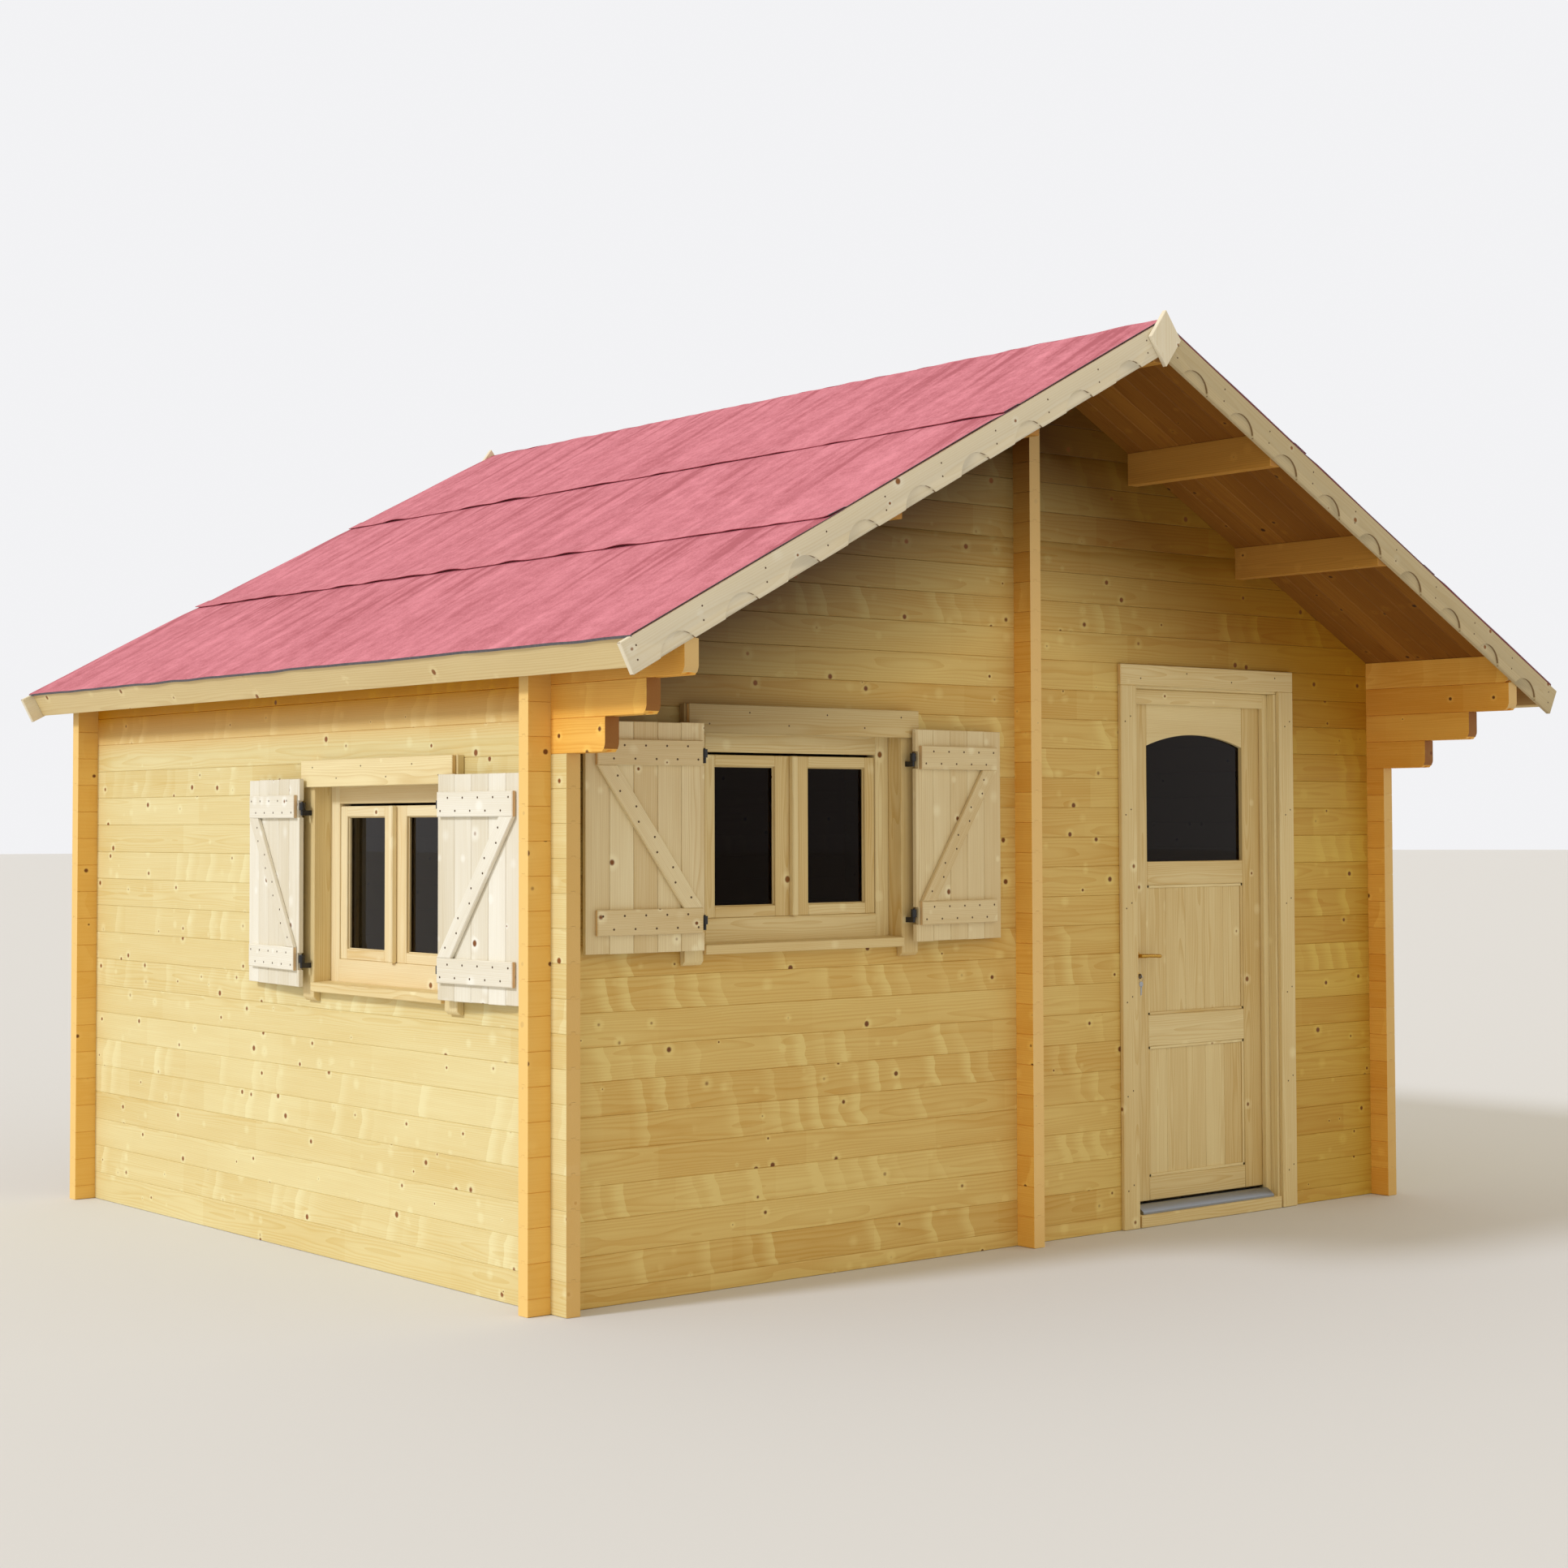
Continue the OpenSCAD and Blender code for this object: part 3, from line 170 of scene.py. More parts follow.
# Spruce: pale yellow wood with darker growth lines along each piece, tone that changes from board to board and
# brown knots. Growth lines are drawn about twice as wide as real ones, so that they show in the whole view.
# Logs are glued from lengths of uneven tone, and some have pale bars across the grain.
def spruce(name, look):
    material, tree = newMaterial(name)
    grain = addNode(tree, "Attribute", attribute_name="grain").outputs["Vector"]
    board = addNode(tree, "Attribute", attribute_name="board").outputs["Vector"]
    endFace = addNode(tree, "Attribute", attribute_name="endGrainAndShade").outputs["Fac"]
    tone = addNode(tree, "SeparateXYZ", {0: board})
    long = addNode(tree, "VectorMath", {0: grain, 1: (1.4, 9, 9)}, operation="MULTIPLY").outputs[0]
    wander = addNode(tree, "TexNoise", {"Vector": long, "Scale": 1.0, "Detail": 2.0}).outputs["Fac"]
    flat = addNode(tree, "VectorMath", {0: grain, 1: (0, 1, 1)}, operation="MULTIPLY").outputs[0]
    radius = addNode(tree, "VectorMath", {0: flat}, operation="LENGTH").outputs["Value"]
    bent = addNode(tree, "Math", {0: wander, 1: 0.03, 2: radius}, operation="MULTIPLY_ADD").outputs[0]
    turns = addNode(tree, "Math", {0: bent, 1: look["ring"]}, operation="DIVIDE").outputs[0]
    saw = addNode(tree, "Math", {0: turns}, operation="FRACT").outputs[0]
    ring = addNode(tree, "MapRange", {0: saw, 1: 0.35, 2: 1.0}, interpolation_type="SMOOTHSTEP").outputs[0]
    fine = addNode(tree, "VectorMath", {0: grain, 1: (3, 170, 170)}, operation="MULTIPLY").outputs[0]
    streak = addNode(tree, "TexNoise", {"Vector": fine, "Scale": 1.0, "Detail": 3.0}).outputs["Fac"]
    spread = [(tone.outputs[0], look["toneSpread"]), (ring, 0.26), (streak, 0.4), (wander, 0.5)]
    bars = None
    if "bar" in look:
        parts = addNode(tree, "SeparateXYZ", {0: grain})
        lean = addNode(tree, "Math", {0: parts.outputs[1], 1: 0.3, 2: parts.outputs[0]},
                       operation="MULTIPLY_ADD").outputs[0]
        sway = addNode(tree, "Math", {0: wander, 1: 0.10, 2: lean}, operation="MULTIPLY_ADD").outputs[0]
        place = addNode(tree, "Math", {0: sway, 1: look["bar"]}, operation="DIVIDE").outputs[0]
        index = addNode(tree, "Math", {0: place}, operation="FLOOR").outputs[0]
        chance = addNode(tree, "TexWhiteNoise", {"W": index}, noise_dimensions="1D").outputs["Value"]
        saw = addNode(tree, "Math", {0: place}, operation="FRACT").outputs[0]
        barred = addNode(tree, "Math", {0: tone.outputs[2], 1: look["barShare"]}, operation="LESS_THAN").outputs[0]
        strong = addNode(tree, "MapRange", {0: chance, 1: 0.5, 2: 1.0, 4: barred}).outputs[0]
        bars = addNode(tree, "MapRange", {0: saw, 1: 0.2, 2: 0.95, 4: strong}, interpolation_type="SMOOTHSTEP").outputs[0]
        lengths = addNode(tree, "Math", {0: parts.outputs[0], 1: look["length"]}, operation="DIVIDE").outputs[0]
        glued = addNode(tree, "TexVoronoi", {"W": lengths, "Scale": 1.0}, voronoi_dimensions="1D")
        block = addNode(tree, "SeparateColor", {0: glued.outputs["Color"]}).outputs[0]
        spread.append((block, look["lengthSpread"]))
    depth = 0.5 - sum(share for _, share in spread) / 2
    for value, share in spread:
        depth = addNode(tree, "Math", {0: value, 1: share, 2: depth}, operation="MULTIPLY_ADD").outputs[0]
    if bars:
        depth = addNode(tree, "Math", {0: bars, 1: -look["barPale"], 2: depth}, operation="MULTIPLY_ADD").outputs[0]

    cell = addNode(tree, "VectorMath", {0: grain, 1: (13, 14, 14)}, operation="MULTIPLY").outputs[0]
    knots = addNode(tree, "TexVoronoi", {"Vector": cell, "Scale": 1.0})
    pick = addNode(tree, "SeparateColor", {0: knots.outputs["Color"]})
    kept = addNode(tree, "Math", {0: pick.outputs[0], 1: look["knotShare"]}, operation="LESS_THAN").outputs[0]
    size = addNode(tree, "MapRange", {0: pick.outputs[1], 3: 0.05, 4: 0.19}).outputs[0]
    core = addNode(tree, "Math", {0: knots.outputs["Distance"], 1: size}, operation="DIVIDE").outputs[0]
    spot = addNode(tree, "MapRange", {0: core, 1: 1.1, 2: 0.6, 4: kept}, interpolation_type="SMOOTHSTEP").outputs[0]
    halo = addNode(tree, "MapRange", {0: core, 1: 2.8, 2: 1.0, 4: kept}, interpolation_type="SMOOTHSTEP").outputs[0]
    shaded = addNode(tree, "Math", {0: halo, 1: -0.35, 2: depth}, operation="MULTIPLY_ADD", use_clamp=True).outputs[0]

    wood = addNode(tree, "Mix", {0: shaded, 6: linearColour(look["pale"]), 7: linearColour(look["deep"])},
                   data_type="RGBA").outputs[2]
    # Painted shade: where a look has a roof shade colour, the wood darkens towards the roof, by height plus a share of
    # the distance from the middle. On the front and back walls it is also tinted warmer to the right, the shade grows
    # lighter there, and the log ends past the corners get none of it.
    if "roofShade" in look:
        place = addNode(tree, "NewGeometry").outputs["Position"]
        spotAt = addNode(tree, "SeparateXYZ", {0: place})
        side = addNode(tree, "Math", {0: spotAt.outputs[0]}, operation="ABSOLUTE").outputs[0]
        height = addNode(tree, "Math", {0: side, 1: look["fall"], 2: spotAt.outputs[2]},
                         operation="MULTIPLY_ADD").outputs[0]
        shade = addNode(tree, "MapRange", {0: height, 1: look["roofShadeFrom"], 2: look["roofShadeTo"]}).outputs[0]
        tint = linearColour(look["roofShade"])
        if "warm" in look:
            toRight = addNode(tree, "MapRange", {0: spotAt.outputs[0], 1: look["warmFrom"], 2: look["warmTo"]}).outputs[0]
            wood = addNode(tree, "Mix", {0: toRight, 6: wood, 7: linearColour(look["warm"])},
                           data_type="RGBA", blend_type="MULTIPLY").outputs[2]
            tint = addNode(tree, "Mix", {0: toRight, 6: tint, 7: linearColour(look["warmRoofShade"])},
                           data_type="RGBA").outputs[2]
            beyond = addNode(tree, "Math", {0: side, 1: look["cornerFrom"]}, operation="GREATER_THAN").outputs[0]
            shade = addNode(tree, "Math", {0: shade, 1: beyond}, operation="SUBTRACT", use_clamp=True).outputs[0]
        wood = addNode(tree, "Mix", {0: shade, 6: wood, 7: tint}, data_type="RGBA", blend_type="MULTIPLY").outputs[2]
        # Painted shade: the log ends past the corners are mixed towards an orange corner colour.
        if "corner" in look:
            warm = addNode(tree, "Math", {0: beyond, 1: 0.7}, operation="MULTIPLY").outputs[0]
            wood = addNode(tree, "Mix", {0: warm, 6: wood, 7: linearColour(look["corner"])},
                           data_type="RGBA").outputs[2]
    spotted = addNode(tree, "Mix", {0: spot, 6: wood, 7: linearColour(look["knot"])}, data_type="RGBA").outputs[2]
    # End faces take the look's end colour; for the eave logs and the bargeboard pocket walls it is painted shade.
    ends = addNode(tree, "Math", {0: endFace, 1: 0.8}, operation="MULTIPLY").outputs[0]
    colour = addNode(tree, "Mix", {0: ends, 6: spotted, 7: linearColour(look["end"])}, data_type="RGBA").outputs[2]
    bump = addNode(tree, "Bump", {"Height": shaded, "Strength": 0.25, "Distance": 0.0008}, invert=True)
    finishMaterial(tree, {"Base Color": colour, "Roughness": look["roughness"], "Normal": bump.outputs[0], "IOR": 1.5,
                          "Specular IOR Level": 0.3})
    return material


# Mineral roofing felt: a rough, pinkish red sheet, blotched, with darker ripples that run down the slope. Its
# folds are drawn darker still, most just below each lap: painted shade of the wrinkles. The grains are drawn
# coarser than real ones, so that they show in the whole view.
def feltMaterial(name, pale, deep):
    material, tree = newMaterial(name)
    grain = addNode(tree, "Attribute", attribute_name="grain").outputs["Vector"]
    turned = addNode(tree, "VectorRotate", {"Vector": grain, "Angle": 0.2}, rotation_type="Z_AXIS").outputs[0]
    long = addNode(tree, "VectorMath", {0: turned, 1: (1.6, 8, 1)}, operation="MULTIPLY").outputs[0]
    ripple = addNode(tree, "TexNoise", {"Vector": long, "Scale": 1.0, "Detail": 3.0, "Roughness": 0.6,
                                        "Distortion": 0.5}).outputs["Fac"]
    blotch = addNode(tree, "TexNoise", {"Vector": turned, "Scale": 16.0, "Detail": 5.0, "Roughness": 0.75}).outputs["Fac"]
    grains = addNode(tree, "TexNoise", {"Vector": grain, "Scale": 130.0, "Detail": 2.0}).outputs["Fac"]
    coarse = addNode(tree, "Math", {0: ripple, 1: 0.65}, operation="MULTIPLY").outputs[0]
    fine = addNode(tree, "Math", {0: grains, 1: 0.5, 2: coarse}, operation="MULTIPLY_ADD").outputs[0]
    both = addNode(tree, "Math", {0: blotch, 1: 0.8, 2: fine}, operation="MULTIPLY_ADD").outputs[0]
    flat = addNode(tree, "MapRange", {0: both, 1: 0.72, 2: 1.26}).outputs[0]
    # Painted shade of the wrinkles: the folds darken, most just below each lap.
    narrow = addNode(tree, "VectorMath", {0: turned, 1: (1.1, 15, 1)}, operation="MULTIPLY").outputs[0]
    fold = addNode(tree, "TexNoise", {"Vector": narrow, "Scale": 1.0, "Detail": 2.0}).outputs["Fac"]
    down = addNode(tree, "SeparateXYZ", {0: grain}).outputs[0]
    strips = addNode(tree, "Math", {0: down, 1: felt["show"]}, operation="DIVIDE").outputs[0]
    run = addNode(tree, "Math", {0: strips}, operation="FRACT").outputs[0]
    near = addNode(tree, "MapRange", {0: run, 1: 0.0, 2: 0.8, 3: felt["fold"], 4: felt["fold"] * 0.2}).outputs[0]
    dark = addNode(tree, "MapRange", {0: fold, 1: 0.5, 2: 0.72, 4: near}, interpolation_type="SMOOTHSTEP").outputs[0]
    depth = addNode(tree, "Math", {0: flat, 1: dark}, operation="ADD", use_clamp=True).outputs[0]
    colour = addNode(tree, "Mix", {0: depth, 6: linearColour(pale), 7: linearColour(deep)},
                     data_type="RGBA").outputs[2]
    bump = addNode(tree, "Bump", {"Height": grains, "Strength": 0.35, "Distance": 0.001})
    finishMaterial(tree, {"Base Color": colour, "Roughness": 0.9, "Normal": bump.outputs[0], "IOR": 1.5})
    return material


# Bitumen: the dull, nearly black cut edge of the felt.
def bitumenMaterial():
    material, tree = newMaterial("bitumen")
    place = addNode(tree, "NewGeometry").outputs["Position"]
    speck = addNode(tree, "TexNoise", {"Vector": place, "Scale": 90.0, "Detail": 2.0}).outputs["Fac"]
    colour = addNode(tree, "Mix", {0: speck, 6: linearColour(felt["edge"]), 7: linearColour("#6A6870")},
                     data_type="RGBA").outputs[2]
    finishMaterial(tree, {"Base Color": colour, "Roughness": 0.8, "IOR": 1.6})
    return material


# Metal: brass, zinc, aluminium or a painted iron, with a faint unevenness of gloss.
def metalMaterial(name, code, metallic, roughness):
    material, tree = newMaterial(name)
    place = addNode(tree, "NewGeometry").outputs["Position"]
    speck = addNode(tree, "TexNoise", {"Vector": place, "Scale": 220.0, "Detail": 3.0}).outputs["Fac"]
    gloss = addNode(tree, "MapRange", {0: speck, 3: roughness - 0.08, 4: roughness + 0.1}).outputs[0]
    finishMaterial(tree, {"Base Color": linearColour(code), "Metallic": metallic, "Roughness": gloss, "IOR": 1.5})
    return material


# Window glass: clear float glass, which looks dark against the unlit room behind it. A thin coating keeps its
# reflections weak.
def glassMaterial():
    material, tree = newMaterial("windowGlass")
    place = addNode(tree, "NewGeometry").outputs["Position"]
    sway = addNode(tree, "TexNoise", {"Vector": place, "Scale": 3.0, "Detail": 1.0}).outputs["Fac"]
    bump = addNode(tree, "Bump", {"Height": sway, "Strength": 0.08, "Distance": 0.002}).outputs[0]
    finishMaterial(tree, {"Base Color": linearColour(glass["tint"]), "Roughness": 0.01, "IOR": glass["ior"],
                          "Transmission Weight": 1.0, "Specular Tint": linearColour(glass["coating"]), "Normal": bump})
    return material


finish = {
    "sideLogs": spruce("sunlitSpruceLogs", sideLogs),
    "frontLogs": spruce("shadedHoneySpruceLogs", frontLogs),
    "eaveLogs": spruce("shadedAmberSpruceLogs", eaveLogs),
    "braceLogs": spruce("shadedAmberSpruceBraces", braceLogs),
    "fascia": spruce("bareSpruceFascia", fascia),
    "trim": spruce("bareSpruceTrim", trim),
    "rightTrim": spruce("shadedYellowSpruceTrim", rightTrim),
    "joinery": spruce("bareSpruceJoinery", joinery),
    "sideJoinery": spruce("sunlitSpruceJoinery", sideJoinery),
    "headJoinery": spruce("shadedUnderRoofJoinery", headJoinery),
    "shutters": spruce("bareSpruceShutters", shutters),
    "frontShutters": spruce("shadedSpruceShutters", frontShutters),
    "deck": spruce("spruceRoofBoards", deck),
    "purlins": spruce("sprucePurlins", purlins),
    "floor": spruce("spruceFloorBoards", floorBoards),
    "felt": feltMaterial("mineralFelt", felt["colour"], felt["streak"]),
    "feltLap": feltMaterial("shadedMineralFeltLap", felt["lapEdge"], felt["lapEdge"]),
    "bitumen": bitumenMaterial(),
    "glass": glassMaterial(),
    "brass": metalMaterial("polishedBrass", metals["brass"], 1.0, 0.25),
    "iron": metalMaterial("blackPaintedIron", metals["iron"], 0.0, 0.35),
    "zinc": metalMaterial("zincPlatedSteel", metals["zinc"], 1.0, 0.4),
    "aluminium": metalMaterial("millAluminium", metals["aluminium"], 1.0, 0.45),
    "nail": metalMaterial("steelNail", metals["nail"], 1.0, 0.5),
}
print("stage: materials made")

# The roof's planes, read from the deck
deckFaces = frame["nodes"]["roof_deck_right"].data.polygons
roofNormal = max((face for face in deckFaces if face.normal.z > 0), key=lambda face: face.area).normal.copy()
roofFall = Vector((roofNormal.z, 0, -roofNormal.x))
deckPoints = [vert.co for vert in frame["nodes"]["roof_deck_right"].data.vertices]
deckLow = min(point.dot(roofNormal) for point in deckPoints)
deckHigh = max(point.dot(roofNormal) for point in deckPoints)
ridge = Vector((0, 0, deckLow / roofNormal.z))
deckLength = max((point - ridge).dot(roofFall) for point in deckPoints)
directions = [right, back, up] + [Vector((side * v.x, 0, v.z)) for side in (-1, 1) for v in (roofFall, roofNormal)]


def addLayers(mesh):
    mesh.verts.layers.float_vector.new("grain")
    mesh.verts.layers.float_vector.new("board")
    mesh.faces.layers.float.new("endGrainAndShade")
    return mesh


# Gives the verts of one board its grain: along its length, with the heart of the tree at a chance place beside it
def markGrain(mesh, verts, along, across, origin):
    grain = mesh.verts.layers.float_vector["grain"]
    board = mesh.verts.layers.float_vector["board"]
    endGrainAndShade = mesh.faces.layers.float["endGrainAndShade"]
    through = along.cross(across)
    heart = Vector((rng.uniform(0, 60), rng.uniform(-0.05, 0.05), rng.uniform(0.03, 0.09)))
    tone = Vector((rng.random(), rng.uniform(0, 99), rng.random()))
    for vert in verts:
        offset = vert.co - origin
        vert[grain] = heart + Vector((offset.dot(along), offset.dot(across), offset.dot(through)))
        vert[board] = tone
    for face in {face for vert in verts for face in vert.link_faces}:
        face.normal_update()
        face[endGrainAndShade] = float(abs(face.normal.dot(along)) > 0.8)


# A board with chamfered edges; size is its length, width and thickness
def addBoard(mesh, centre, along, across, size, edge=0.0015):
    axes = (along, across, along.cross(across))
    half = [length / 2 for length in size]
    edge = min(edge, min(half) * 0.6)
    spots = {}
    for signs in itertools.product((-1, 1), repeat=3):
        for axis in range(3):
            local = [signs[i] * (half[i] - (0 if i == axis else edge)) for i in range(3)]
            spots[signs, axis] = mesh.verts.new(centre + sum((axes[i] * local[i] for i in range(3)), Vector()))
    for axis in range(3):
        def corner(a, b, c, axis=axis):
            signs = [0, 0, 0]
            signs[axis], signs[(axis + 1) % 3], signs[(axis + 2) % 3] = a, b, c
            return tuple(signs)
        for sign in (-1, 1):
            mesh.faces.new([spots[corner(sign, b, c), axis] for b, c in ((-1, -1), (1, -1), (1, 1), (-1, 1))])
        for b, c in itertools.product((-1, 1), repeat=2):
            start, stop = corner(-1, b, c), corner(1, b, c)
            one, two = (axis + 1) % 3, (axis + 2) % 3
            mesh.faces.new([spots[start, one], spots[stop, one], spots[stop, two], spots[start, two]])
    for signs in itertools.product((-1, 1), repeat=3):
        mesh.faces.new([spots[signs, axis] for axis in range(3)])
    markGrain(mesh, list(spots.values()), along, across, centre)


# A board cut to an outline in the plane of across and along, from depth 0 to thick along through
def addCutBoard(mesh, origin, across, along, through, outline, thick, edge=0.0015, grainAlong=None):
    fronts = [mesh.verts.new(origin + across * x + along * z) for x, z in outline]
    rears = [mesh.verts.new(origin + across * x + along * z + through * thick) for x, z in outline]
    faces = [mesh.faces.new(fronts), mesh.faces.new(rears)]
    for i in range(len(outline)):
        j = (i + 1) % len(outline)
        faces.append(mesh.faces.new([fronts[i], fronts[j], rears[j], rears[i]]))
    bmesh.ops.recalc_face_normals(mesh, faces=faces)
    rims = list({side for face in faces[:2] for side in face.edges})
    made = bmesh.ops.bevel(mesh, geom=rims, offset=edge, segments=1, affect="EDGES", clamp_overlap=True)
    verts = {vert for face in faces if face.is_valid for vert in face.verts} | set(made["verts"])
    grainAlong = grainAlong or along
    side = through.cross(grainAlong)
    markGrain(mesh, [vert for vert in verts if vert.is_valid], grainAlong, side, origin)


# A round piece turned about an axis; profile is a list of radius and height
def addTurned(mesh, origin, axis, profile, sides=20):
    one = axis.orthogonal().normalized()
    two = axis.cross(one)
    rows = []
    for radius, height in profile:
        angles = [2 * math.pi * i / sides for i in range(sides)]
        rows.append([mesh.verts.new(origin + axis * height + (one * math.cos(a) + two * math.sin(a)) * radius)
                     for a in angles])
    for low, high in zip(rows, rows[1:]):
        for i in range(sides):
            j = (i + 1) % sides
            mesh.faces.new([low[i], low[j], high[j], high[i]])
    mesh.faces.new(rows[0])
    mesh.faces.new(rows[-1])


# A rod of changing oval section that follows points; sizes gives its half width and half height at each one
def addRod(mesh, points, sizes, flatTo, sides=14, closed=False):
    rows = []
    for i, point in enumerate(points):
        before = points[i - 1] if i or closed else point
        after = points[(i + 1) % len(points)] if i + 1 < len(points) or closed else point
        ahead = (after - before).normalized()
        across = ahead.cross(flatTo).normalized()
        rise = across.cross(ahead)
        wide, high = sizes[i]
        angles = [2 * math.pi * k / sides for k in range(sides)]
        rows.append([mesh.verts.new(point + across * math.cos(a) * wide + rise * math.sin(a) * high) for a in angles])
    pairs = list(zip(rows, rows[1:])) + ([(rows[-1], rows[0])] if closed else [])
    for low, high in pairs:
        for i in range(sides):
            j = (i + 1) % sides
            mesh.faces.new([low[i], low[j], high[j], high[i]])
    if not closed:
        mesh.faces.new(rows[0])
        mesh.faces.new(rows[-1])


def islands(mesh):
    seen = set()
    for start in mesh.verts:
        if start in seen:
            continue
        seen.add(start)
        group = [start]
        for vert in group:
            for side in vert.link_edges:
                near = side.other_vert(vert)
                if near not in seen:
                    seen.add(near)
                    group.append(near)
        yield group


# A copy of a CAD node with its sharp edges broken, each of its solids marked as one board
def copyNode(node, edge):
    mesh = bmesh.new()
    mesh.from_mesh(frame["nodes"][node].data)
    bmesh.ops.remove_doubles(mesh, verts=mesh.verts, dist=0.00002)
    bmesh.ops.dissolve_limit(mesh, angle_limit=0.01, verts=mesh.verts, edges=mesh.edges)
    addLayers(mesh)
    if edge:
        sharp = [side for side in mesh.edges if side.is_manifold and side.calc_face_angle_signed() > 0.6]
        bmesh.ops.bevel(mesh, geom=sharp, offset=edge, segments=1, affect="EDGES", clamp_overlap=True)
    for group in islands(mesh):
        reach = [(max(v.co.dot(d) for v in group) - min(v.co.dot(d) for v in group), i) for i, d in enumerate(directions)]
        along = directions[max(reach)[1]]
        across = directions[max(item for item in reach if abs(directions[item[1]].dot(along)) < 0.1)[1]]
        middle = sum((v.co for v in group), Vector()) / len(group)
        markGrain(mesh, group, along, across, middle)
    return mesh


# Makes a mesh an object that moves with a body and stands for the named CAD nodes
def addPiece(name, mesh, looks, nodes=(), body=None, round=30):
    bmesh.ops.recalc_face_normals(mesh, faces=mesh.faces)
    data = bpy.data.meshes.new(name)
    mesh.to_mesh(data)
    mesh.free()
    for look in looks:
        data.materials.append(finish[look])
    data.shade_smooth()
    data.set_sharp_from_angle(angle=math.radians(round))
    piece = bpy.data.objects.new(name, data)
    scene.collection.objects.link(piece)
    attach(piece, body or frame["nodes"][nodes[0]]["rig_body"])
    if nodes:
        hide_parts(*nodes)
    return piece


# Makes the V between logs finer, as it looks in the photograph
def narrowSeams(mesh, share):
    moves = {}
    for face in mesh.faces:
        face.normal_update()
        flat = max((right, back), key=lambda axis: abs(face.normal.dot(axis)))
        out, rise = face.normal.dot(flat), face.normal.z
        if min(abs(out), abs(rise)) < 0.69:
            continue
        outward, lift = math.copysign(1, out) * flat, math.copysign(1, rise) * up
        reach = max(vert.co.dot(outward) for vert in face.verts)
        depth = reach - min(vert.co.dot(outward) for vert in face.verts)
        for vert in face.verts:
            outer = vert.co.dot(outward) > reach - depth / 2
            moves[vert] = (lift if outer else outward) * depth * share
    for vert, move in moves.items():
        vert.co += move


# Divides the faces of a mesh in the middle of a wall, and gives the place of that wall
def cutAtWall(mesh, wall):
    low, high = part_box(wall)
    place = (low.y + high.y) / 2
    parts = mesh.verts[:] + mesh.edges[:] + mesh.faces[:]
    bmesh.ops.bisect_plane(mesh, geom=parts, plane_co=back * place, plane_no=back)
    return place


# The right wall's log ends in front of the front wall, on the side of the door, take the amber eave-log colour as
# the eave logs above them do: painted shade.
def markCorner(mesh):
    wall = cutAtWall(mesh, "front_gable")
    for face in mesh.faces:
        if face.normal.x < -0.5 and face.calc_center_median().y < wall:
            face.material_index = 1


# The eave logs' sawn ends take a very dark end colour, painted shade, but the ends that reach out furthest keep
# the paler joinery colour. Between the front and the back wall their outer faces look as the side wall does,
# in its sunlit colour: painted light.
def markEaves(mesh):
    walls = [cutAtWall(mesh, wall) for wall in ("front_gable", "back_gable")]
    reach = max(abs(vert.co.y) for vert in mesh.verts)
    for face in mesh.faces:
        middle = face.calc_center_median()
        if abs(face.normal.y) > 0.5 and abs(middle.y) > reach - 0.015:
            face.material_index = 1
        elif face.normal.x * middle.x > 1 and walls[0] < middle.y < walls[1]:
            face.material_index = 2


def pieceName(node, tail):
    first, *rest = node.split("_")
    return first + "".join(word.capitalize() for word in rest) + tail


# The curved walls of a bargeboard's pockets take the trim's dark end colour: painted shadow in the recesses
def shadePocketWalls(mesh):
    endGrainAndShade = mesh.faces.layers.float["endGrainAndShade"]
    for face in mesh.faces:
        face.normal_update()
        square = max(abs(face.normal.dot(direction)) for direction in directions)
        face[endGrainAndShade] = float(square < 0.999 and abs(face.normal.y) < 0.1)


# Pieces that keep the CAD form: node, look, slot and how far their edges are broken
keptForms = [
    ("front_wall_left front_wall_right front_gable back_wall back_gable", "frontLogs", "log", 0),
    ("left_eave_logs right_eave_logs", "eaveLogs", "log", 0),
    ("front_brace_logs back_brace_logs", "braceLogs", "log", 0),
    ("left_wall right_wall", "sideLogs", "log", 0),
    ("ridge_purlin left_purlins right_purlins", "purlins", "deck_wood", 0.002),
    ("floor_bearers", "floor", "floor_wood", 0.002),
    ("bargeboard_front_left", "trim", "trim_wood", 0.002),
    ("bargeboard_front_right", "rightTrim", "trim_wood", 0.002),
    ("bargeboard_back_left bargeboard_back_right diamond_front diamond_back", "trim", "trim_wood", 0.002),
    ("door_frame door_casing door_sill front_window_frame", "joinery", "joinery", 0.003),
    ("side_window_frame", "sideJoinery", "joinery", 0.003),
    ("front_window_casing", "headJoinery", "joinery", 0.003),
    ("side_window_casing", "joinery", "joinery", 0.003),
    ("door_threshold", "aluminium", "threshold_metal", 0.001),
    ("door_glass front_window_glass side_window_glass", "glass", "glazing", 0),
    ("door_hinge_pins door_hinge_eyes", "zinc", "hinge_steel", 0.0008),
    ("front_shutter_brackets side_shutter_brackets front_straps_left front_straps_right", "iron", "black_iron", 0.0008),
    ("side_straps_left side_straps_right", "iron", "black_iron", 0.0008),
]
for names, look, slot, edge in keptForms:
    for node in names.split():
        mesh = copyNode(node, edge)
        looks = [look]
        if node.startswith("bargeboard"):
            shadePocketWalls(mesh)
        if slot == "log":
            narrowSeams(mesh, 0.5)
        if look == "eaveLogs":
            looks += ["joinery", "sideLogs"]
            markEaves(mesh)
        if node == "right_wall":
            looks.append("eaveLogs")
            markCorner(mesh)
        addPiece(pieceName(node, "Look"), mesh, looks, [node])
print("stage: pieces with the CAD form dressed")


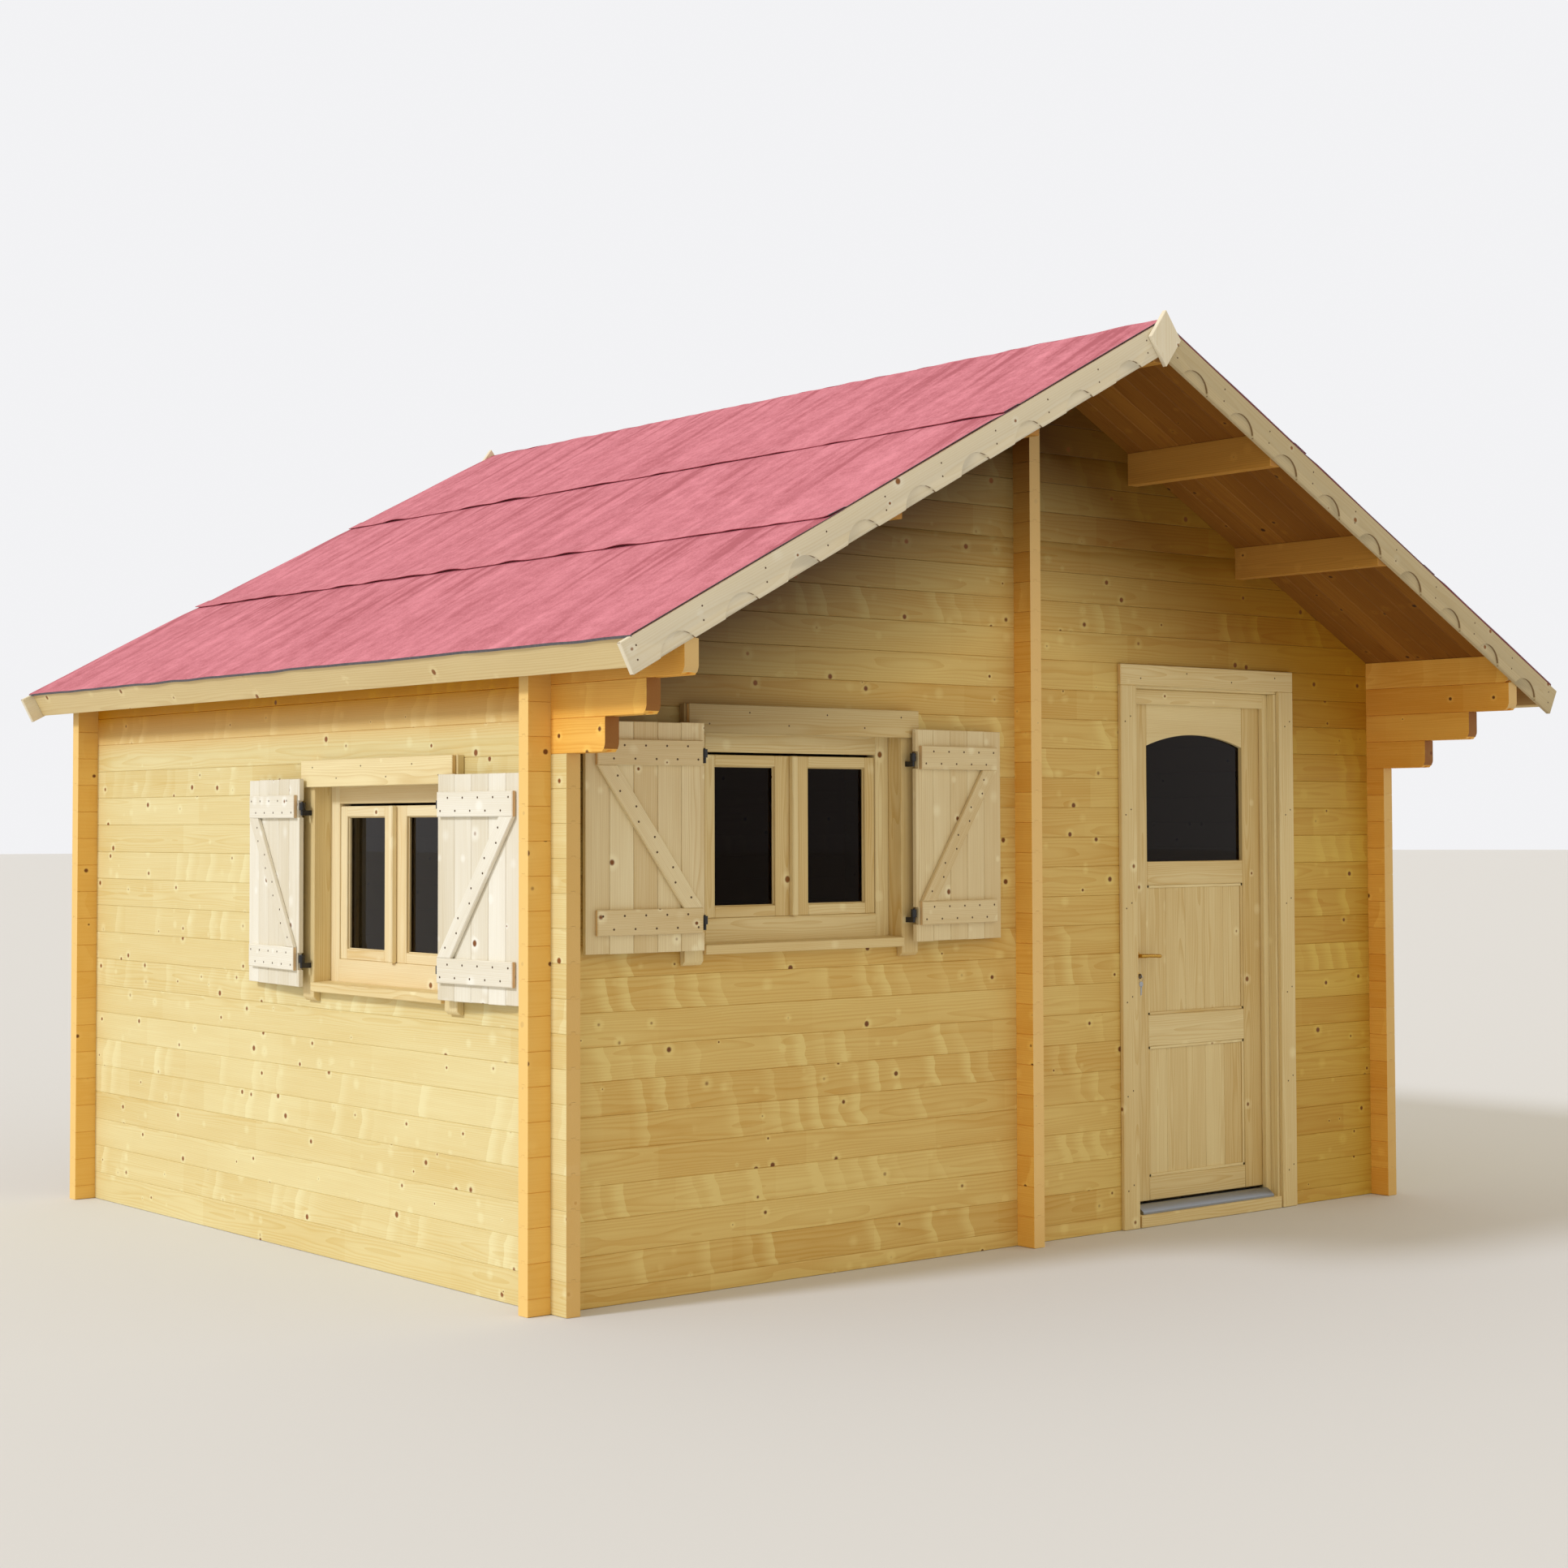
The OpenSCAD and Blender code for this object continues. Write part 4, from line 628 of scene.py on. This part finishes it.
# Roof boards that run down each slope, tongued, with an open V between them
def addRoofBoards(node, side):
    low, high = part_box(node)
    fall, normal = Vector((side * roofFall.x, 0, roofFall.z)), Vector((side * roofNormal.x, 0, roofNormal.z))
    count = round((high.y - low.y) / deck["board"])
    width = (high.y - low.y) / count
    thick = deckHigh - deckLow
    mesh = addLayers(bmesh.new())
    for i in range(count):
        centre = ridge + fall * deckLength / 2 + normal * thick / 2 + back * (low.y + width * (i + 0.5))
        addBoard(mesh, centre, fall, back, (deckLength, width - 0.0006, thick), deck["edge"])
    addPiece(pieceName(node, "Boards"), mesh, ["deck"], [node])


# The board along an eave, in two lengths that meet in a slanting scarf joint
def addFascia(node, side):
    low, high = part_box(node)
    normal = Vector((side * roofNormal.x, 0, roofNormal.z))
    fall = Vector((side * roofFall.x, 0, roofFall.z))
    points = [vert.co for vert in frame["nodes"][node].data.vertices]
    tops, outs = [point.dot(normal) for point in points], [point.dot(fall) for point in points]
    tall, thick = max(tops) - min(tops), max(outs) - min(outs)
    origin = normal * min(tops) + fall * min(outs)
    scarf, slant, gap = fascia["scarf"], fascia["slant"], 0.0006
    mesh = addLayers(bmesh.new())
    ends = ((low.y, low.y, scarf - slant - gap, scarf - gap), (scarf - slant, scarf, high.y, high.y))
    for footStart, topStart, footStop, topStop in ends:
        outline = [(footStart, 0), (footStop, 0), (topStop, tall), (topStart, tall)]
        addCutBoard(mesh, origin, back, normal, fall, outline, thick, 0.002, back)
    addPiece(pieceName(node, "Boards"), mesh, ["fascia"], [node])


addFascia("fascia_right", 1)
addFascia("fascia_left", -1)
addRoofBoards("roof_deck_right", 1)
addRoofBoards("roof_deck_left", -1)


# One felt strip from s0 to s1 down a slope: a thin rippled sheet, lifted where it laps on the next one
def addFeltStrip(mesh, side, s0, s1, low, high, last):
    fall, normal = Vector((side * roofFall.x, 0, roofFall.z)), Vector((side * roofNormal.x, 0, roofNormal.z))
    grain = mesh.verts.layers.float_vector["grain"]
    rows = [s0 + (s1 - s0) * i / felt["rows"] for i in range(felt["rows"] + 1)]
    rows += [s1 - felt["lip"]] if last else [s1 - felt["lap"] - 0.008, s1 - felt["lap"] + 0.004]
    rows.sort()
    columns = [low + (high - low) * i / felt["columns"] for i in range(felt["columns"] + 1)]
    seed = rng.uniform(0, 50)
    levels = []
    for level in (0, 1):
        sheet = []
        for s in rows:
            line = []
            for y in columns:
                free = min(1, max(0, (s - s0) / felt["lap"] - 1)) if s0 else 1
                run = (s - s0) / (s1 - s0)
                broad = noise.noise(Vector((s * 0.9 + y * 0.3, (y + s * 0.12) * 4.5, seed)))
                fold = noise.noise(Vector((s * 1.6, (y + s * 0.2) * 11, seed + 9)))
                ripple = felt["wave"] * free * max(0, 1 + broad + (1.1 - 0.8 * run) * fold)
                lap = 0 if last or s < s1 - felt["lap"] else felt["thick"] + 0.0005
                if lap:
                    lap += felt["lift"] * max(0, noise.noise(Vector((y * 4, seed, 4)))) * (s - s1 + felt["lap"]) / felt["lap"]
                edge = 0.004 * noise.noise(Vector((y * 5, seed, 2))) if s == s1 else 0
                droop = -0.002 - (0 if level else felt["lip"]) if last and s == s1 else 0
                n = deckHigh - deckLow + 0.0006 + ripple + lap + droop + level * felt["thick"]
                down = s + edge - (0 if s0 else (1 - s / s1) * n * roofNormal.x / roofNormal.z)
                vert = mesh.verts.new(ridge + fall * down + normal * n + back * y)
                vert[grain] = Vector((down, y, seed))
                line.append(vert)
            sheet.append(line)
        levels.append(sheet)
    for sheet in levels:
        for i in range(len(rows) - 1):
            for j in range(len(columns) - 1):
                mesh.faces.new([sheet[i][j], sheet[i + 1][j], sheet[i + 1][j + 1], sheet[i][j + 1]])
    rims = [[(i, j) for i in range(len(rows))] for j in (0, len(columns) - 1)]
    rims += [[(i, j) for j in range(len(columns))] for i in (0, len(rows) - 1)]
    # Verge and eave rims are bitumen; the edges of the other strips take the dark red lap colour: painted shade.
    for k, rim in enumerate(rims):
        for (a, b), (c, d) in zip(rim, rim[1:]):
            face = mesh.faces.new([levels[0][a][b], levels[0][c][d], levels[1][c][d], levels[1][a][b]])
            face.material_index = 1 if k < 2 or last else 2


def addFelt(node, side):
    low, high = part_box(node)
    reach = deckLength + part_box("fascia_right")[1].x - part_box("roof_deck_right")[1].x + felt["drip"]
    mesh = addLayers(bmesh.new())
    strips = math.ceil(reach / felt["show"])
    for i in range(strips):
        s0 = i * felt["show"] - (felt["lap"] if i else 0)
        last = i == strips - 1
        addFeltStrip(mesh, side, s0, reach if last else (i + 1) * felt["show"], low.y, high.y, last)
    addPiece(pieceName(node, "Sheets"), mesh, ["felt", "bitumen", "feltLap"], [node])


addFelt("roof_felt_right", 1)
addFelt("roof_felt_left", -1)
print("stage: roof boards and felt laid")


# Floor boards from front to back, stopped at the door's sill and at the brace logs
def addFloorBoards():
    low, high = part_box("floor")
    doorLow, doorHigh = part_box("door_frame")
    braceFront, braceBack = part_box("front_brace_logs"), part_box("back_brace_logs")
    count = round((high.x - low.x) / floorBoards["board"])
    width = (high.x - low.x) / count
    mesh = addLayers(bmesh.new())
    for i in range(count):
        x = low.x + width * (i + 0.5)
        start, stop = low.y, high.y
        if doorLow.x - width / 2 < x < doorHigh.x + width / 2:
            start = doorHigh.y + 0.001
        if abs(x) < width / 2 + braceFront[1].x:
            start, stop = braceFront[1].y + 0.001, braceBack[0].y - 0.001
        size = (stop - start, width - 0.0008, high.z - low.z)
        addBoard(mesh, Vector((x, (start + stop) / 2, (low.z + high.z) / 2)), back, right, size, floorBoards["edge"])
    addPiece("floorBoards", mesh, ["floor"], ["floor"])


addFloorBoards()


# One shutter: upright boards, two battens, a brace that rises from the hinge side and nail heads
def addShutter(node, joint, across, inward, hand):
    place = next(Vector(item["pos_m"]) for item in frame["joints"] if item["name"] == joint)
    lean = math.radians(shutters["lean"])
    leaf = across * hand * math.cos(lean) + inward * math.sin(lean)
    deep = inward * math.cos(lean) - across * hand * math.sin(lean)
    low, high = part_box(node)
    tall, wide, thick, batten = high.z - low.z, shutters["wide"], shutters["thick"], shutters["batten"]
    edge, gain = shutters["hingeEdge"], shutters["gain"]
    battenLow, battenHigh, half = -shutters["battenOff"], shutters["battenOff"], shutters["battenTall"] / 2
    mesh = addLayers(bmesh.new())
    step = wide / shutters["boards"]
    for i in range(shutters["boards"]):
        a0, a1 = edge + i * step, edge + (i + 1) * step - shutters["gap"]
        z0, z1 = -tall / 2 + rng.uniform(0, 0.002), tall / 2 - rng.uniform(0, 0.002)
        outline = [(a0, z0), (a1, z0), (a1, z1), (a0, z1)]
        if i == 0:
            for z in (battenHigh, battenLow):
                top, foot = z + shutters["gainUp"], z - shutters["gainDown"]
                outline += [(a0, top), (gain, top), (gain, foot), (a0, foot)]
        addCutBoard(mesh, place - deep * thick / 2, leaf, up, deep, outline, thick, shutters["edge"])
    x0, x1 = edge + shutters["battenHinge"], edge + wide - shutters["battenFree"]
    face = place - deep * (thick / 2 + batten + 0.0002)
    for z in (battenLow, battenHigh):
        outline = [(z - half, x0), (z + half, x0), (z + half, x1), (z - half, x1)]
        addCutBoard(mesh, face, up, leaf, deep, outline, batten, 0.003)
    z0, z1 = battenLow + half + 0.0005, battenHigh - half - 0.0005
    outline = [(x0, z0), (x0 + shutters["brace"], z0), (x1, z1), (x1 - shutters["brace"], z1)]
    slant = (leaf * (x1 - shutters["brace"] - x0) + up * (z1 - z0)).normalized()
    addCutBoard(mesh, face, leaf, up, deep, outline, batten, 0.003, slant)
    look = "frontShutters" if node.startswith("front") else "shutters"
    addPiece(pieceName(node, "Boards"), mesh, [look], [node])

    nails = addLayers(bmesh.new())
    spots = []
    for z in (battenLow, battenHigh):
        for i in range(2 * shutters["boards"]):
            a = x0 + (x1 - x0) * (i + 0.5) / (2 * shutters["boards"])
            spots.append((a, z + half * (0.52 if i % 2 else -0.52)))
    for i in range(9):
        t = (i + 0.7) / 9.4
        spots.append((x0 + 0.04 + (x1 - x0 - 0.08) * t + (0.014 if i % 2 else -0.014), z0 + (z1 - z0) * t))
    head = shutters["nail"]
    for a, z in spots:
        addTurned(nails, face + leaf * a + up * z, -deep, [(head, -0.0006), (head, 0.0003), (head * 0.6, 0.0007)], 8)
    addPiece(pieceName(node, "Nails"), nails, ["nail"], body=frame["nodes"][node]["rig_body"])


addShutter("front_shutter_left", "front_left_shutter_hinge", right, back, -1)
addShutter("front_shutter_right", "front_right_shutter_hinge", right, back, 1)
addShutter("side_shutter_left", "side_left_shutter_hinge", -back, right, -1)
addShutter("side_shutter_right", "side_right_shutter_hinge", -back, right, 1)
print("stage: shutters built")


# Two sashes of a window: stiles, rails, the beads that hold the panes and the strip that covers the joint
def addSashes(node, across, inward):
    low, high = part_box(node)
    half = abs((high - low).dot(across)) / 2
    tall, thick = high.z - low.z, windows["thick"]
    rear = max(low.dot(inward), high.dot(inward))
    middle = (low + high) / 2
    middle += inward * (rear - thick / 2 - middle.dot(inward))
    mesh = addLayers(bmesh.new())
    inner = 0.0003
    for side in (-1, 1):
        out = across * side
        stiles = ((inner + windows["meet"] / 2, windows["meet"]), (half - windows["side"] / 2, windows["side"]))
        for a, width in stiles:
            addBoard(mesh, middle + out * a, up, across, (tall, width, thick), windows["edge"])
        span = half - inner - windows["side"] - windows["meet"]
        centre = middle + out * (inner + windows["meet"] + span / 2)
        for end in (-1, 1):
            z = end * (tall - windows["rail"]) / 2
            addBoard(mesh, centre + up * z, across, up, (span, windows["rail"], thick), windows["edge"])
        bead = windows["bead"]
        for face in (-1, 1):
            depth = inward * face * (thick / 2 - 0.012)
            for end in (-1, 1):
                z = end * ((tall - bead) / 2 - windows["rail"])
                addBoard(mesh, centre + depth + up * z, across, up, (span, bead, bead), 0.002)
                a = across * end * (span - bead) / 2
                addBoard(mesh, centre + depth + a, up, across, (tall - 2 * windows["rail"] - 2 * bead, bead, bead), 0.002)
    strip = middle - inward * (thick / 2 + windows["stripThick"] / 2 + 0.0003)
    addBoard(mesh, strip, up, across, (tall, windows["strip"], windows["stripThick"]), 0.004)
    look = "sideJoinery" if node.startswith("side") else "joinery"
    addPiece(pieceName(node, "Members"), mesh, [look], [node])


addSashes("front_window_sashes", right, back)
addSashes("side_window_sashes", back, right)


# The door leaf: stiles, rails, an arched top rail, panels of upright boards and beads
def addDoorLeaf():
    low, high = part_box("door_leaf")
    wide, thick, tall = high.x - low.x, high.y - low.y, high.z - low.z
    middle = (low + high) / 2
    span = wide - 2 * door["stile"]
    mesh = addLayers(bmesh.new())
    for side in (-1, 1):
        x = side * (wide - door["stile"]) / 2
        addBoard(mesh, middle + right * x, up, right, (tall, door["stile"] - 0.0004, thick), door["edge"])
    z = low.z
    for kind in ("bottom", "lowPanel", "mid", "highPanel", "lock"):
        centre = Vector((middle.x, middle.y, z + door[kind] / 2))
        if kind.endswith("Panel"):
            step = span / door["boards"]
            for i in range(door["boards"]):
                place = centre + right * (step * (i + 0.5) - span / 2)
                addBoard(mesh, place, up, right, (door[kind], step - 0.0004, thick - 2 * door["sunk"]), door["vee"])
            bead = door["bead"]
            for face, end in itertools.product((-1, 1), repeat=2):
                depth = back * face * (thick / 2 - door["sunk"] / 2 - 0.0015)
                lift = up * end * (door[kind] - bead) / 2
                addBoard(mesh, centre + depth + lift, right, up, (span, bead, door["sunk"] - 0.003), 0.0025)
                shift = right * end * (span - bead) / 2
                addBoard(mesh, centre + depth + shift, up, right, (door[kind], bead, door["sunk"] - 0.003), 0.0025)
        else:
            addBoard(mesh, centre, right, up, (span, door[kind] - 0.0004, thick), door["edge"])
        z += door[kind]
    glassSide = high.z - z - door["top"] - door["rise"]
    radius = (span * span / 4 + door["rise"] ** 2) / (2 * door["rise"])
    half = math.asin(span / 2 / radius)
    arch = []
    for i in range(25):
        angle = half * (2 * i / 24 - 1)
        arch.append((radius * math.sin(angle), glassSide + door["rise"] - radius * (1 - math.cos(angle))))
    outline = arch + [(span / 2, high.z - z), (-span / 2, high.z - z)]
    addCutBoard(mesh, Vector((middle.x, low.y, z)), right, up, back, outline, thick, 0.002, right)
    addPiece("doorLeafMembers", mesh, ["joinery"], ["door_leaf"], round=40)


addDoorLeaf()
print("stage: sashes and door leaf built")


# Brass lever on each face of the leaf, with a neck that bends into a flattened grip
def addHandle():
    pivot = next(Vector(item["pos_m"]) for item in frame["joints"] if item["name"] == "handle_turn")
    low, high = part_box("door_leaf")
    mesh = addLayers(bmesh.new())
    for face, start in ((-1, low.y), (1, high.y)):
        base = Vector((pivot.x, start, pivot.z))
        bend = 0.016
        points, sizes = [], []
        for t in (0, 0.5, 1):
            points.append(base + back * face * (handle["off"] - bend) * t)
            sizes.append((handle["neck"], handle["neck"]))
        for i in range(1, 7):
            angle = math.pi / 2 * i / 6
            offset = handle["off"] - bend + bend * math.sin(angle)
            points.append(base + back * face * offset + right * bend * (1 - math.cos(angle)))
            sizes.append((handle["neck"] * 0.95, handle["neck"]))
        for t in (0.2, 0.4, 0.6, 0.8, 0.95, 1):
            reach = bend + (handle["length"] - bend) * t
            points.append(base + back * face * handle["off"] + right * reach - up * 0.004 * t * t)
            sizes.append((handle["grip"] * (0.75 if t < 1 else 0.4), handle["grip"] * (1 if t < 1 else 0.6)))
        addRod(mesh, points, sizes, up)
    addPiece("doorLever", mesh, ["brass"], ["door_handle"], round=60)


def addRoses():
    pivot = next(Vector(item["pos_m"]) for item in frame["joints"] if item["name"] == "handle_turn")
    low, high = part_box("door_leaf")
    mesh = addLayers(bmesh.new())
    r, t = handle["rose"], handle["roseThick"]
    plate = [(r, 0), (r, t * 0.5), (r * 0.92, t * 0.85), (r * 0.6, t), (r * 0.45, t)]
    for face, start in ((-1, low.y), (1, high.y)):
        for drop in (0, handle["lockDrop"]):
            addTurned(mesh, Vector((pivot.x, start, pivot.z - drop)), back * face, plate, 28)
        lock = Vector((pivot.x, start, pivot.z - handle["lockDrop"]))
        addTurned(mesh, lock, back * face, [(0.0085, 0), (0.0085, t + 0.002), (0.007, t + 0.003)], 20)
    addPiece("doorRosesAndLock", mesh, ["brass"], ["door_roses"], round=40)


# A key in the lock, with a ring that carries a second key
def addKeys():
    pivot = next(Vector(item["pos_m"]) for item in frame["joints"] if item["name"] == "handle_turn")
    low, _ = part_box("door_leaf")
    lock = Vector((pivot.x, low.y - handle["roseThick"] - 0.003, pivot.z - handle["lockDrop"]))
    mesh = addLayers(bmesh.new())
    bow = [(0.0115 * math.cos(2 * math.pi * i / 20), 0.0115 * math.sin(2 * math.pi * i / 20)) for i in range(20)]
    addCutBoard(mesh, lock - back * 0.018 - right * 0.001, -back, up, right, bow, 0.002, 0.0003)
    addBoard(mesh, lock - back * 0.004, back, up, (0.010, 0.008, 0.002), 0.0003)
    hook = lock - back * 0.024 - up * 0.011
    turn = [2 * math.pi * i / 28 for i in range(28)]
    addRod(mesh, [hook + right * 0.012 * math.sin(a) + up * 0.012 * math.cos(a) for a in turn],
           [(0.0009, 0.0009)] * 28, back, 8, True)
    low2 = hook - up * 0.022
    addCutBoard(mesh, low2 - back * 0.001, right, up, back, bow, 0.002, 0.0003)
    shank = [(-0.004, 0), (0.004, 0), (0.004, -0.026), (0.001, -0.028), (0.004, -0.031), (0.001, -0.036), (-0.004, -0.038)]
    addCutBoard(mesh, low2 - back * 0.001 - up * 0.009, right, up, back, shank, 0.002, 0.0003)
    addPiece("doorKeys", mesh, ["zinc"], body="door", round=40)


addHandle()
addRoses()
addKeys()
print("stage: handle, lock and keys built")


# Nail heads on the face of a CAD node, driven in from outside at the given places
def addNails(name, node, inward, spots):
    data = frame["nodes"][node].data
    tree = BVHTree.FromPolygons([vert.co for vert in data.vertices], [list(face.vertices) for face in data.polygons])
    head = trim["nail"]
    mesh = addLayers(bmesh.new())
    for spot in spots:
        hit, normal, _, _ = tree.ray_cast(spot - inward * 4, inward)
        if hit and normal.dot(inward) < -0.95:
            addTurned(mesh, hit, -inward, [(head, -0.0006), (head, 0.0003), (head * 0.6, 0.0007)], 8)
    addPiece(name, mesh, ["nail"], body=frame["nodes"][node]["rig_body"])


def addTrimNails():
    for node, across, inward in (("front_window_casing", right, back), ("side_window_casing", back, right)):
        low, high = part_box(node)
        start, stop = sorted((low.dot(across), high.dot(across)))
        spots = []
        for i in range(6):
            place = across * (start + 0.10 + (stop - start - 0.20) * i / 5)
            spots.append(place + up * (high.z - (0.028 if i % 2 else 0.072)))
        addNails(pieceName(node, "Nails"), node, inward, spots)
    low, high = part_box("door_casing")
    spots = []
    for side in (low.x + 0.04, high.x - 0.04):
        for i in range(6):
            height = low.z + 0.16 + (high.z - low.z - 0.4) * i / 5
            spots += [Vector((side - 0.016, 0, height)), Vector((side + 0.016, 0, height + 0.022))]
    for i in range(4):
        x = low.x + 0.12 + (high.x - low.x - 0.24) * i / 3
        spots.append(Vector((x, 0, high.z - (0.03 if i % 2 else 0.058))))
    addNails("doorCasingNails", "door_casing", back, spots)
    for end, inward in (("front", back), ("back", -back)):
        for hand, side in (("left", -1), ("right", 1)):
            fall = Vector((side * roofFall.x, 0, roofFall.z))
            normal = Vector((side * roofNormal.x, 0, roofNormal.z))
            spots = []
            for i in range(10):
                foot = ridge + fall * (trim["nailFirst"] + trim["nailStep"] * i) + normal * (deckHigh - deckLow)
                spots += [foot - normal * 0.034, foot - normal * 0.078 + fall * 0.016]
            node = "bargeboard_" + end + "_" + hand
            addNails(pieceName(node, "Nails"), node, inward, spots)


addTrimNails()
print("stage: nails driven")


# Pale studio floor
def addFloor():
    mesh = bmesh.new()
    bmesh.ops.create_circle(mesh, cap_ends=True, segments=96, radius=150)
    data = bpy.data.meshes.new("studioFloor")
    mesh.to_mesh(data)
    mesh.free()
    material, tree = newMaterial("paleFloor")
    finishMaterial(tree, {"Base Color": linearColour(light["floor"]), "Roughness": 0.9})
    data.materials.append(material)
    ground = bpy.data.objects.new("studioFloor", data)
    ground.location.z = -0.001
    scene.collection.objects.link(ground)


def addLight():
    sun = bpy.data.lights.new("softSun", "SUN")
    sun.energy = light["sun"]
    sun.color = linearColour(light["sunColour"])[:3]
    sun.angle = math.radians(light["sunAngle"])
    lamp = bpy.data.objects.new("softSun", sun)
    lamp.rotation_euler = Vector(light["sunFrom"]).to_track_quat("Z", "Y").to_euler()
    scene.collection.objects.link(lamp)
    world = bpy.data.worlds.new("studio")
    world.use_nodes = True
    world.node_tree.nodes.clear()
    tree = world.node_tree
    path = addNode(tree, "LightPath")
    seen = path.outputs["Is Camera Ray"]
    for kind in ("Is Glossy Ray", "Is Transmission Ray"):
        seen = addNode(tree, "Math", {0: seen, 1: path.outputs[kind]}, operation="ADD", use_clamp=True).outputs[0]
    kinds = [(light["skyColour"], light["sky"]), (light["backdropColour"], light["backdrop"])]
    skies = [addNode(tree, "Background", {"Color": linearColour(code), "Strength": strength}).outputs[0]
             for code, strength in kinds]
    sky = addNode(tree, "MixShader", {0: seen, 1: skies[0], 2: skies[1]})
    addNode(tree, "OutputWorld", {"Surface": sky.outputs[0]})
    scene.world = world


# Camera at the photograph's place, which was found from the shed's corners
def addCamera():
    data = bpy.data.cameras.new("photoCamera")
    data.sensor_width = camera["sensor"]
    data.lens = camera["lens"]
    data.clip_end = 400
    data.shift_x, data.shift_y = camera["shift"]
    eye = bpy.data.objects.new("photoCamera", data)
    eye.location = camera["place"]
    turn = Matrix.Rotation(-math.radians(camera["turn"]), 3, "Z")
    tilt = Matrix.Rotation(math.radians(90 + camera["tilt"]), 3, "X")
    roll = Matrix.Rotation(math.radians(camera["roll"]), 3, "Z")
    eye.rotation_euler = (turn @ tilt @ roll).to_euler()
    scene.collection.objects.link(eye)
    scene.camera = eye


addFloor()
addLight()
addCamera()
scene.view_settings.view_transform = "Standard"
print("stage: floor, light and camera placed")
